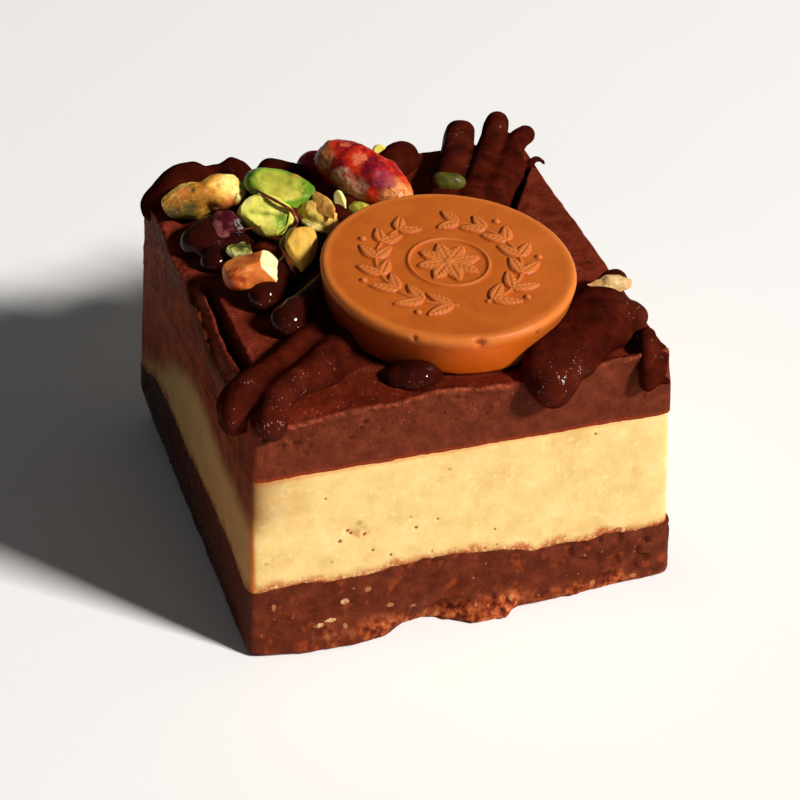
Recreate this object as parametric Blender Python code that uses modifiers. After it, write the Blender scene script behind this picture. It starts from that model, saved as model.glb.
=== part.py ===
"""A square slice of pistachio and chocolate layer cake.

A dark crumb base, a pale cream layer and a chocolate top, piped with diagonal strokes. A caramel coin
and pistachio kernels lie on the chocolate. Lengths are in millimetres until the meshes are made.
The origin is under the middle of the slice, +X runs along the front, +Y goes to the back.
"""
import math

import bmesh
import bpy
from mathutils import Euler, Matrix, Vector, noise

MM = 0.001

# The slice: half widths at the top, and how much further each side stands out at the bottom
HALF_WIDTH = 30.2
HALF_DEPTH = 30.2
FLARE_LEFT = 1.4
FLARE_RIGHT = 2.5
FLARE_FRONT = 1.5
FLARE_BACK = 0.4
CORNER_POWER = 50

# The left side stands out further towards the back: this much at the top, and this much more low down
SKEW_TOP = 0.8
SKEW_LOW = 1.1
SKEW_FOOT = 8.0

# The layers: heights in the middle, and their rise towards the right and the back
SLICE_HEIGHT = 39.9
CREAM_TOP = 29.4
BASE_TOP = 9.9
BASE_RISE_RIGHT = -0.6
BASE_RISE_BACK = -0.5
CREAM_RISE_RIGHT = -0.2
TOP_RISE_BACK = 1.3
LAYER_GAP = 0.3
BASE_STEP_RIGHT = 0.45

# How finely a layer is divided
OUTLINE_POINTS = 80
BASE_RINGS = 5
CREAM_RINGS = 5
CHOCOLATE_RINGS = 4
TOP_INSETS = 7
TOP_INSET = 0.13

# The caramel coin
COIN_CENTRE = Vector((3.9, -10.6, 46.8))
COIN_RADIUS = 18.1
COIN_THICKNESS = 6.6
COIN_TAPER = 0.8
COIN_EDGE = 0.6
COIN_PITCH = 4.2
COIN_ROLL = 1.3
COIN_STEPS = 64
RELIEF_HEIGHT = 0.45

# Everything pressed into the chocolate keeps this gap to it
PRESS_GAP = 0.3

# The scored line along the left edge and the gap beside the back strokes: middle, size, turn in degrees
GAPS = [
    (Vector((-27.7, -9.5, 39.6)), Vector((1.1, 23.0, 4.6)), -1.5),
    (Vector((24.5, 16.0, 40.6)), Vector((1.0, 18.4, 4.6)), -31.3),
]

# The piped strokes: width, then the points that each one passes
STROKES = {
    "corner_outer": (4.5, [(-31.8, -26.4, 37.2), (-30.4, -24.9, 38.9), (-27.4, -21.9, 39.4),
                           (-20.8, -16.5, 39.7), (-9.6, -7.4, 40.0)]),
    "corner_inner": (4.1, [(-27.5, -30.6, 37.9), (-26.9, -29.0, 39.2), (-20.9, -22.4, 39.8),
                           (-10.2, -13.8, 40.0)]),
    "left_middle": (5.2, [(-22.3, -4.8, 41.0), (-17.0, 0.6, 41.4), (-8.0, 10.4, 41.4), (4.0, 22.4, 42.4),
                          (9.4, 27.7, 42.6)]),
    "left_low": (5.4, [(-20.9, -11.4, 40.8), (-14.0, -5.6, 41.2), (-6.0, 3.6, 41.2)]),
    "front_middle": (5.4, [(-8.2, -26.8, 38.4), (-4.8, -25.2, 38.9), (0.2, -21.4, 39.2)]),
    "left_wet": (5.6, [(-26.8, 8.8, 40.6), (-23.6, 11.4, 41.4), (-20.0, 14.2, 41.6)]),
    "left_high": (4.6, [(-28.2, 13.2, 40.9), (-22.8, 16.4, 41.8), (-17.6, 26.0, 42.0), (-15.6, 31.2, 42.4)]),
    "left_inner": (4.5, [(-20.4, 12.0, 41.2), (-15.0, 20.4, 41.8), (-10.6, 30.2, 42.2)]),
    "back_left": (5.4, [(-28.6, 25.4, 42.0), (-25.8, 28.8, 42.9), (-20.4, 30.6, 42.8)]),
    "back_dark": (2.8, [(-11.8, 30.4, 42.9), (-8.6, 28.6, 42.7), (-5.6, 26.6, 42.4)]),
    "left_edge": (3.6, [(-30.4, 25.6, 39.4), (-29.8, 27.2, 41.2), (-26.4, 29.6, 42.0)]),
    "right_low": (4.5, [(9.4, -31.0, 39.5), (12.3, -27.0, 40.2), (19.3, -20.7, 40.8), (25.3, -15.3, 40.8)]),
    "right_tip": (5.0, [(11.5, -32.5, 36.7), (12.2, -32.1, 38.6), (16.0, -28.6, 40.0), (26.3, -17.8, 40.9)]),
    "right_fill": (5.6, [(11.6, -30.8, 37.6), (14.2, -28.6, 38.8), (19.0, -23.8, 39.6)]),
    "right_middle": (4.4, [(16.2, -29.6, 39.0), (21.8, -25.0, 40.2), (26.4, -20.9, 40.6)]),
    "right_high": (3.6, [(23.2, -26.0, 39.9), (26.9, -23.0, 40.4), (28.8, -21.0, 40.4)]),
    "right_dome": (3.7, [(26.3, -14.6, 41.2), (29.4, -13.6, 41.8)]),
    "right_corner": (2.7, [(28.0, -26.0, 40.4), (26.7, -29.4, 39.4), (26.2, -31.2, 37.2),
                           (26.2, -31.8, 34.9)]),
    "right_lobe": (3.4, [(28.8, -27.6, 38.9), (28.2, -29.6, 38.0), (28.0, -30.4, 35.6)]),
    "back_first": (4.1, [(20.6, 32.8, 43.8), (17.4, 26.0, 43.2), (10.0, 12.1, 42.4)]),
    "back_second": (4.1, [(21.9, 32.2, 43.8), (18.7, 25.3, 43.2), (11.0, 11.5, 42.4)]),
    "back_third": (4.5, [(27.7, 33.4, 44.1), (24.4, 27.2, 43.4), (14.0, 10.1, 42.3)]),
    "back_fourth": (3.4, [(31.2, 28.6, 43.6), (28.4, 26.6, 43.2), (24.1, 20.5, 42.6), (18.0, 10.5, 42.2)]),
    "back_low": (4.8, [(26.6, 23.4, 41.7), (21.6, 15.7, 41.6), (17.3, 9.3, 41.6)]),
}
STROKE_STEPS = 3
STROKE_SIDES = 2

# Pistachio pieces: length, width and thickness, place of the middle, turn about each axis in
# degrees, how pointed the far end is, and how flat the underside
KERNELS = {
    "pistachio_red": ((17.4, 9.0, 7.4), (0.8, 18.8, 45.5), (0, 8, -57), 0.3, 0.0),
    "pistachio_green": ((12.4, 7.6, 5.6), (-12.6, 18.0, 45.4), (-14, 4, -46), 0.05, 0.5),
    "pistachio_split": ((8.4, 6.6, 4.6), (-16.5, 11.9, 44.5), (26, 2, -34), 0.0, 0.4),
    "pistachio_brown": ((11.4, 6.4, 6.0), (-23.6, 21.6, 44.4), (6, -5, 3), -0.1, 0.2),
    "pistachio_tan": ((6.8, 4.4, 4.6), (-7.8, 10.5, 43.6), (0, 14, -88), 0.2, 0.0),
    "pistachio_chunk": ((8.4, 6.0, 5.4), (-21.7, -0.8, 43.8), (0, -4, -2), -0.2, 0.3),
    "pistachio_wedge": ((8.2, 4.6, 4.4), (-13.9, 2.4, 44.7), (0, 22, -106), 0.8, 0.2),
}

# Small bits stuck to the chocolate: size, place and turn
BITS = {
    "crimson_bit": ((5.6, 4.0, 3.8), (-4.4, 28.5, 43.0), (0, -30, -41)),
    "yellow_bit": ((3.0, 2.4, 2.2), (6.4, 28.2, 43.8), (0, 20, -30)),
    "pale_crumb": ((4.2, 2.6, 2.2), (-4.0, 14.2, 42.6), (0, 40, -81)),
    "olive_crumb": ((4.0, 2.8, 2.6), (-1.8, 12.4, 42.4), (0, 8, -37)),
    "olive_bit": ((5.0, 3.0, 3.0), (12.6, 15.8, 44.2), (0, 0, -16)),
    "tan_flake": ((5.4, 3.2, 1.6), (26.4, -16.8, 43.3), (20, 0, -22)),
    "fuzzy_flake": ((4.6, 3.2, 1.8), (-21.8, 7.9, 43.4), (10, 0, 8)),
    "skin_flake": ((4.6, 6.0, 1.6), (-22.0, 13.0, 44.1), (60, 0, -24)),
}

COLOURS = {
    "base_layer": ((0.085, 0.028, 0.014), 0.7),
    "cream_layer": ((0.72, 0.52, 0.2), 0.6),
    "chocolate_layer": ((0.06, 0.016, 0.009), 0.35),
    "caramel_coin": ((0.52, 0.17, 0.03), 0.35),
    "pistachio_red": ((0.3, 0.04, 0.03), 0.5),
    "pistachio_green": ((0.4, 0.5, 0.08), 0.5),
    "pistachio_split": ((0.5, 0.55, 0.12), 0.5),
    "pistachio_brown": ((0.5, 0.32, 0.08), 0.5),
    "pistachio_tan": ((0.5, 0.38, 0.1), 0.5),
    "pistachio_chunk": ((0.55, 0.25, 0.06), 0.5),
    "pistachio_wedge": ((0.6, 0.5, 0.13), 0.5),
}


def clear_scene():
    for thing in list(bpy.data.objects):
        bpy.data.objects.remove(thing, do_unlink=True)


def new_collection(name):
    collection = bpy.data.collections.new(name)
    bpy.context.scene.collection.children.link(collection)
    return collection


def add_object(name, mesh, collection):
    thing = bpy.data.objects.new(name, mesh)
    collection.objects.link(thing)
    return thing


def finish_mesh(bm, name):
    """Turns a bmesh in millimetres into a mesh in metres."""
    bmesh.ops.scale(bm, vec=(MM, MM, MM), verts=bm.verts)
    bmesh.ops.recalc_face_normals(bm, faces=bm.faces)
    mesh = bpy.data.meshes.new(name)
    bm.to_mesh(mesh)
    bm.free()
    return mesh


def square_outline(angle):
    """Follows a square with rounded corners, at an even pace, as u and v from -1 to 1."""
    across = math.cos(angle)
    along = math.sin(angle)
    if abs(across) >= abs(along):
        u = math.copysign(1.0, across)
        v = math.atan2(along, abs(across)) * 4 / math.pi
    else:
        u = math.atan2(across, abs(along)) * 4 / math.pi
        v = math.copysign(1.0, along)
    rounding = (abs(u) ** CORNER_POWER + abs(v) ** CORNER_POWER) ** (-1 / CORNER_POWER)
    return u * rounding, v * rounding


def place_in_slice(u, v, z):
    """The point of the slice at u, v from its middle, with the sides flaring towards the bottom."""
    drop = 1 - z / SLICE_HEIGHT
    if u > 0:
        flare_x = FLARE_RIGHT * drop
    else:
        skew = (SKEW_TOP + SKEW_LOW * drop) * min(1.0, max(0.0, z / SKEW_FOOT))
        flare_x = FLARE_LEFT * drop + skew * (1 + v) / 2
    flare_y = FLARE_BACK if v > 0 else FLARE_FRONT
    return Vector((u * (HALF_WIDTH + flare_x), v * (HALF_DEPTH + flare_y * drop), z))


def outward(u, v):
    return Vector((u ** 23, v ** 23, 0)).normalized()


def bump(x, middle, width):
    """A smooth hump of height 1 at the middle."""
    return math.exp(-((x - middle) / width) ** 2)


def base_top(u, v):
    wave = 0.5 * noise.noise(Vector((u * 4, v * 4, 3.1)))
    return BASE_TOP + BASE_RISE_RIGHT * u + BASE_RISE_BACK * v + wave


def cream_top(u, v):
    return CREAM_TOP + CREAM_RISE_RIGHT * u + 0.12 * noise.noise(Vector((u * 3, v * 3, 7.7)))


def slice_top(u, v):
    """The chocolate's top: level inside, and ragged along its edges."""
    reach = max(abs(u), abs(v))
    rag = 0.9 * noise.noise(Vector((u * 5, v * 5, 1.3))) * reach ** 6
    dips = -0.7 * bump(u, -0.75, 0.35) * bump(v, -1, 0.2) - 1.2 * bump(u, -1, 0.12) * bump(v, -0.4, 0.3)
    return SLICE_HEIGHT + TOP_RISE_BACK * v + rag + dips


def base_floor(u, v):
    return 0.0


def cream_floor(u, v):
    return base_top(u, v) + LAYER_GAP


def chocolate_floor(u, v):
    return cream_top(u, v) + LAYER_GAP


def base_relief(u, v, z):
    """Coarse crumbs, with lumps that bulge out along the bottom of the front."""
    grain = 0.45 * noise.noise(Vector((u * 9, v * 9, z * 0.35)))
    low = max(0.0, 1 - z / 4.5)
    lumps = 2.0 * bump(u, -0.57, 0.2) + 2.8 * bump(u, 0.13, 0.1) + 0.9 * bump(u, 0.4, 0.16)
    hollow = 1.0 * bump(u, -0.2, 0.08)
    front = low * (lumps - hollow) if v < -0.9 else 0.0
    foot = -0.7 * max(0.0, 1 - z / 1.5) ** 2
    return grain + front + foot + BASE_STEP_RIGHT * max(0.0, u) ** 10


def cream_relief(u, v, z):
    return 0.1 * noise.noise(Vector((u * 8, v * 8, z * 0.3)))


def chocolate_relief(u, v, z):
    """Nearly smooth low down, with a broken ledge near the top of the front."""
    grain = 0.2 * noise.noise(Vector((u * 10, v * 10, z * 0.5)))
    high = max(0.0, (z - 35) / 5)
    ledge = -0.9 * high * bump(u, 0.1, 0.25) if v < -0.9 else 0.0
    return grain + ledge


def face_height(face):
    return face.calc_center_median().z


def build_layer(name, floor, ceiling, rings, relief, insets):
    """A layer between two heights. Its sides are rings of faces; its top may have inset rings."""
    bm = bmesh.new()
    bmesh.ops.create_cone(bm, cap_ends=True, segments=OUTLINE_POINTS, radius1=1, radius2=1, depth=1)
    uprights = [edge for edge in bm.edges if abs(edge.verts[0].co.z - edge.verts[1].co.z) > 0.5]
    bmesh.ops.subdivide_edges(bm, edges=uprights, cuts=rings - 1)
    caps = [face for face in bm.faces if len(face.verts) > 4]
    top = max(caps, key=face_height)
    for _ in range(insets):
        bmesh.ops.inset_region(bm, faces=[top], thickness=TOP_INSET)
    bmesh.ops.poke(bm, faces=caps)
    for vert in bm.verts:
        reach = min(1.0, vert.co.xy.length)
        u, v = square_outline(math.atan2(vert.co.y, vert.co.x)) if reach > 1e-6 else (0.0, 0.0)
        level = vert.co.z + 0.5
        low = floor(u * reach, v * reach)
        high = ceiling(u * reach, v * reach)
        z = low + (high - low) * level
        place = place_in_slice(u * reach, v * reach, z)
        if reach > 0.99:
            place += outward(u, v) * relief(u, v, z)
        vert.co = place
    return finish_mesh(bm, name)


def smooth_route(points):
    """Adds points between the given ones, on a curve through all of them."""
    ends = [points[0] * 2 - points[1]] + points + [points[-1] * 2 - points[-2]]
    route = []
    for before, start, end, after in zip(ends, ends[1:], ends[2:], ends[3:]):
        for step in range(STROKE_STEPS):
            t = step / STROKE_STEPS
            turn = (end - before) * t + (before * 2 - start * 5 + end * 4 - after) * t ** 2
            route.append(start + (turn + (start * 3 - before - end * 3 + after) * t ** 3) / 2)
    return route + [points[-1]]


def round_end(distance, radius):
    """How thick a stroke is, from 0 to 1, at a distance from its rounded end."""
    if distance >= radius:
        return 1.0
    return max(0.3, math.sqrt(1 - (1 - distance / radius) ** 2))


def build_stroke(name, width, points, collection):
    """A piped stroke: a tube with rounded ends, turned from a curve into a mesh."""
    radius = width / 2
    route = smooth_route([Vector(point) for point in points])
    run = [0.0]
    for start, end in zip(route, route[1:]):
        run.append(run[-1] + (end - start).length)
    curve = bpy.data.curves.new(name, "CURVE")
    curve.dimensions = "3D"
    curve.bevel_depth = radius * MM
    curve.bevel_resolution = STROKE_SIDES
    curve.use_fill_caps = True
    spline = curve.splines.new("POLY")
    spline.points.add(len(route) - 1)
    for index, place in enumerate(route):
        spline.points[index].co = (place.x * MM, place.y * MM, place.z * MM, 1)
        spline.points[index].radius = round_end(min(run[index], run[-1] - run[index]) + 0.2, radius)
    guide = add_object(name + "_curve", curve, collection)
    bpy.context.view_layer.update()
    mesh = bpy.data.meshes.new_from_object(guide.evaluated_get(bpy.context.evaluated_depsgraph_get()))
    bpy.data.objects.remove(guide, do_unlink=True)
    bm = bmesh.new()
    bm.from_mesh(mesh)
    bmesh.ops.remove_doubles(bm, verts=bm.verts, dist=0.01 * MM)
    bm.to_mesh(mesh)
    bm.free()
    return add_object(name, mesh, collection)


def build_kernel(name, size, point, flat, grow):
    """A kernel: longest along X, more pointed at its +X end, flatter below."""
    bm = bmesh.new()
    bmesh.ops.create_icosphere(bm, subdivisions=3, radius=1)
    for vert in bm.verts:
        along, across, up = vert.co
        narrowing = 1 - point * max(0.0, along) ** 1.5
        ridge = 1 + 0.06 * math.cos(3 * math.atan2(up, across))
        if up < 0:
            up *= 1 - flat
        half = Vector(size) / 2
        vert.co = Vector((along * (half.x + grow), across * narrowing * ridge * (half.y + grow),
                          up * narrowing * ridge * (half.z + grow)))
        vert.co += vert.co.normalized() * 0.25 * noise.noise(vert.co * 0.5)
    return finish_mesh(bm, name)


def build_bit(name, size):
    bm = bmesh.new()
    bmesh.ops.create_icosphere(bm, subdivisions=2, radius=1)
    for vert in bm.verts:
        vert.co *= 1 + 0.25 * noise.noise(vert.co * 2 + Vector(size))
        vert.co = Vector((vert.co.x * size[0], vert.co.y * size[1], vert.co.z * size[2])) / 2
    return finish_mesh(bm, name)


def build_block(size):
    bm = bmesh.new()
    bmesh.ops.create_cube(bm, size=1)
    bmesh.ops.scale(bm, vec=size, verts=bm.verts)
    return finish_mesh(bm, "block")


def pose(thing, place, turn):
    thing.location = Vector(place) * MM
    thing.rotation_euler = Euler([math.radians(angle) for angle in turn])


def coin_profile(grow):
    """Half of the coin's section, from its top middle round the rim to its bottom middle."""
    radius = COIN_RADIUS + grow
    foot = radius - COIN_TAPER
    low = -COIN_THICKNESS - grow
    profile = [(0.0, grow)]
    for angle in (90, 60, 30, 0):
        turn = math.radians(angle)
        profile.append((radius - COIN_EDGE * (1 - math.cos(turn)), grow - COIN_EDGE * (1 - math.sin(turn))))
    for angle in (0, -45, -90):
        turn = math.radians(angle)
        profile.append((foot - COIN_EDGE * (1 - math.cos(turn)), low + COIN_EDGE * (1 + math.sin(turn))))
    profile.append((0.0, low))
    return profile


def build_turned(name, profile, collection):
    """Turns a profile round the Z axis with a Screw modifier and gives the solid as a mesh."""
    mesh = bpy.data.meshes.new(name)
    verts = [(x * MM, 0.0, z * MM) for x, z in profile]
    edges = [(index, index + 1) for index in range(len(profile) - 1)]
    mesh.from_pydata(verts, edges, [])
    thing = add_object(name, mesh, collection)
    screw = thing.modifiers.new("turn", "SCREW")
    screw.axis = "Z"
    screw.steps = COIN_STEPS
    screw.render_steps = COIN_STEPS
    screw.use_merge_vertices = True
    screw.merge_threshold = 0.00001
    screw.use_normal_calculate = True
    apply_modifiers(thing)
    return thing


def apply_modifiers(thing):
    bpy.context.view_layer.update()
    shaped = thing.evaluated_get(bpy.context.evaluated_depsgraph_get())
    mesh = bpy.data.meshes.new_from_object(shaped)
    thing.modifiers.clear()
    thing.data = mesh
    mesh.name = thing.name


def combine(thing, operation, collection):
    """One Boolean with everything in a collection, applied, after which its objects go."""
    boolean = thing.modifiers.new(operation.lower(), "BOOLEAN")
    boolean.operation = operation
    boolean.operand_type = "COLLECTION"
    boolean.collection = collection
    boolean.solver = "EXACT"
    apply_modifiers(thing)
    for used in list(collection.objects):
        bpy.data.objects.remove(used, do_unlink=True)


def keep_largest_body(thing):
    """Drops loose scraps that the Boolean operations leave beside the solid."""
    bm = bmesh.new()
    bm.from_mesh(thing.data)
    waiting = set(bm.faces)
    bodies = []
    while waiting:
        body = set()
        edge_of_body = [waiting.pop()]
        while edge_of_body:
            face = edge_of_body.pop()
            body.add(face)
            near = {other for edge in face.edges for other in edge.link_faces} & waiting
            waiting -= near
            edge_of_body.extend(near)
        bodies.append(body)
    largest = max(bodies, key=len)
    scraps = [face for body in bodies if body is not largest for face in body]
    bmesh.ops.delete(bm, geom=scraps, context="FACES")
    bm.to_mesh(thing.data)
    bm.free()


def leaf_bumps(collection):
    """Low raised shapes on the coin: a rosette in the middle and two curved sprigs round it."""
    shapes = []
    for petal in range(6):
        angle = petal * 60
        shapes.append((2.3, angle, angle, 3.4, 1.9))
    for leaf in range(6):
        for side in (-1, 1):
            angle = 270 + side * (24 + 27 * leaf)
            outer = leaf % 2 == 0
            shapes.append((9.4 if outer else 6.4, angle, angle + side * (60 if outer else 120), 4.2, 1.8))
    for index, (reach, angle, heading, length, width) in enumerate(shapes):
        bm = bmesh.new()
        bmesh.ops.create_icosphere(bm, subdivisions=2, radius=1)
        bmesh.ops.scale(bm, vec=(length / 2, width / 2, RELIEF_HEIGHT), verts=bm.verts)
        place = Matrix.Rotation(math.radians(angle), 4, "Z") @ Matrix.Translation((reach, 0, 0))
        twist = Matrix.Rotation(math.radians(heading - angle), 4, "Z")
        bmesh.ops.transform(bm, matrix=place @ twist, verts=bm.verts)
        name = f"leaf_{index}"
        add_object(name, finish_mesh(bm, name), collection)


def coin_pose():
    turn = Euler((math.radians(COIN_PITCH), math.radians(COIN_ROLL), 0)).to_matrix().to_4x4()
    return Matrix.Translation(COIN_CENTRE * MM) @ turn


def build_coin(cake, tools):
    coin = build_turned("caramel_coin", coin_profile(0.0), cake)
    leaf_bumps(tools)
    combine(coin, "UNION", tools)
    coin.matrix_world = coin_pose()
    return coin


def build_chocolate(cake, tools):
    """The chocolate layer with the strokes and small bits fused on, and hollows where things lie."""
    mesh = build_layer("chocolate_layer", chocolate_floor, slice_top, CHOCOLATE_RINGS,
                       chocolate_relief, TOP_INSETS)
    chocolate = add_object("chocolate_layer", mesh, cake)
    for name, (width, points) in STROKES.items():
        build_stroke(name, width, points, tools)
    for name, (size, place, turn) in BITS.items():
        pose(add_object(name, build_bit(name, size), tools), place, turn)
    combine(chocolate, "UNION", tools)
    press = build_turned("coin_hollow", coin_profile(PRESS_GAP), tools)
    press.matrix_world = coin_pose()
    for name, (size, place, turn, point, flat) in KERNELS.items():
        hollow = add_object(name + "_hollow", build_kernel(name, size, point, flat, PRESS_GAP), tools)
        pose(hollow, place, turn)
    for index, (middle, size, turn) in enumerate(GAPS):
        cutter = add_object(f"gap_{index}", build_block(size), tools)
        pose(cutter, middle, (0, 0, turn))
    combine(chocolate, "DIFFERENCE", tools)
    keep_largest_body(chocolate)
    return chocolate


def paint(thing):
    colour, roughness = COLOURS[thing.name]
    material = bpy.data.materials.new(thing.name)
    material.use_nodes = True
    shader = material.node_tree.nodes["Principled BSDF"]
    shader.inputs["Base Color"].default_value = (*colour, 1)
    shader.inputs["Roughness"].default_value = roughness
    shader.inputs["Metallic"].default_value = 0.0
    thing.data.materials.clear()
    thing.data.materials.append(material)


def main():
    clear_scene()
    cake = new_collection("pistachio_chocolate_cake")
    tools = new_collection("shaping_tools")
    base = build_layer("base_layer", base_floor, base_top, BASE_RINGS, base_relief, 0)
    add_object("base_layer", base, cake)
    cream = build_layer("cream_layer", cream_floor, cream_top, CREAM_RINGS, cream_relief, 0)
    add_object("cream_layer", cream, cake)
    build_chocolate(cake, tools)
    build_coin(cake, tools)
    for name, (size, place, turn, point, flat) in KERNELS.items():
        pose(add_object(name, build_kernel(name, size, point, flat, 0.0), cake), place, turn)
    for thing in cake.objects:
        paint(thing)


main()
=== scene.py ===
import math

import bpy
import numpy as np
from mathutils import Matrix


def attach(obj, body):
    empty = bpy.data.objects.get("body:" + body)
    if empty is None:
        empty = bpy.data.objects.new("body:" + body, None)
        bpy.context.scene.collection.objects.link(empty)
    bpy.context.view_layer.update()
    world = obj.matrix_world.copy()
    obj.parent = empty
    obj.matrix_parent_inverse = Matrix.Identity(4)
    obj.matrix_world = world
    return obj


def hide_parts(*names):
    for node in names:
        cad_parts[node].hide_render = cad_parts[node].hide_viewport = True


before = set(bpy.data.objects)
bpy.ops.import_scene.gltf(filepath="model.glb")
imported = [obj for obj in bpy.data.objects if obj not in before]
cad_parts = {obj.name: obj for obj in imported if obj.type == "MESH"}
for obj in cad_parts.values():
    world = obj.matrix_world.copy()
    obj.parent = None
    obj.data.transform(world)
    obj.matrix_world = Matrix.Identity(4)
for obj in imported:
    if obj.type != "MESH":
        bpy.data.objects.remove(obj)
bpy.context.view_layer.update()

import openvdb
from mathutils import Euler, Matrix, Vector

MM = 0.001

# The slice: half widths at the top, and how much further each side stands out at the bottom
HALF_WIDTH = 30.2
HALF_DEPTH = 30.2
FLARE_LEFT = 1.4
FLARE_RIGHT = 2.5
FLARE_FRONT = 1.5
FLARE_BACK = 0.4
CORNER_POWER = 50

# How sharply the sides, and the directions that point out of them, change over at a corner
SIDE_SHARPNESS = 10
OUT_SHARPNESS = 23

# The left side stands out further towards the back: this much at the top, and this much more low down
SKEW_TOP = 0.8
SKEW_LOW = 1.1
SKEW_FOOT = 8.0

# The layers: heights in the middle, and their rise towards the right and the back
SLICE_HEIGHT = 39.9
CREAM_TOP = 29.4
CREAM_RISE_RIGHT = -0.2
TOP_RISE_BACK = 1.3
TOP_LIP_BACK = 0.5
WORN_EDGE = 1.8

# How far a layer reaches into the next one, and how far its hidden faces are drawn in
LAYER_OVERLAP = 0.05
HIDDEN_INSET = 0.4

# Where the cream starts above the base, along the front (x, z) and along the left side (y, z)
CREAM_FOOT_FRONT = [(-31, 11.2), (-24, 11.6), (-20, 11.0), (-13, 10.8), (-9, 11.5), (-1, 11.3),
                    (6, 10.9), (10.5, 9.5), (14.5, 9.9), (19.5, 9.4), (22, 10.2), (25, 9.5), (31, 10.0)]
CREAM_FOOT_LEFT = [(-31, 11.6), (-20, 12.7), (-10, 13.3), (0, 13.2), (10, 14.4), (20, 14.0), (31, 10.6)]
CREAM_FOOT_ELSEWHERE = 9.8

# How far down chocolate is dragged over the cream on the left side (y, z)
SMEAR_EDGE = [(-30, 22.0), (-20, 22.8), (-10, 24.6), (0, 25.8), (10, 22.6), (20, 16.4), (30, 12.5)]

# How far the base bulges out at its foot, along the front (x, bulge)
FOOT_FRONT = [(-31, 0.2), (-24, 1.7), (-17, 2.1), (-12, 1.6), (-8.5, -0.6), (-5, -1.0), (-1.5, 0.9),
              (1.5, 2.7), (6, 2.7), (8.5, 0.9), (16, 0.7), (22, 0.2), (31, 0.0)]

# The chocolate's top edge along the front (x, z) and along the left side (y, z)
TOP_EDGE_FRONT = [(-30, 37.9), (-23, 38.0), (-17, 38.6), (-9, 38.7), (-4, 39.6), (2, 39.1), (8, 38.6),
                  (14, 38.7), (20, 39.2), (25, 39.8), (30, 39.9)]
TOP_EDGE_LEFT = [(-30, 38.6), (-20, 39.1), (-14, 38.2), (-8.6, 38.1), (-4.6, 38.9), (-1.7, 40.3),
                 (6.6, 40.3), (12.7, 39.6), (19.6, 41.6), (30, 41.2)]

# The caramel coin. Its top is tilted by the last two angles, in degrees.
COIN_CENTRE = Vector((3.9, -10.6, 46.8))
COIN_RADIUS = 18.1
COIN_THICKNESS = 6.9
COIN_TAPER = 0.8
COIN_EDGE = 0.8
COIN_PITCH = 4.2
COIN_ROLL = 1.3

# The scored line along the left edge and the gap beside the back strokes: ends, half width, depth
SCORES = [((-27.8, 2.6), (-27.3, -21.4), 0.7, 3.8), ((29.3, 23.9), (19.7, 8.1), 0.55, 2.8)]

# The design on the coin: a rosette in a ring, and sprigs of leaves in pairs with a berry here and there.
# Its sizes are made larger by its scale.
DESIGN_SCALE = 1.12
RELIEF_HEIGHT = 0.42
# How far round a point the painted crease shade looks for raised parts
CREASE = 0.28
PETALS = 8
PETAL_FOOT = 0.7
PETAL_LENGTH = 3.5
PETAL_WIDTH = 2.4
RING_RADIUS = 5.1
SPRIG_RADIUS = 9.2
LEAVES = 7
LEAF_LENGTH = 4.0
LEAF_WIDTH = 1.8
LEAF_LEAN = 0.62
BERRY_RADIUS = 0.5

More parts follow.
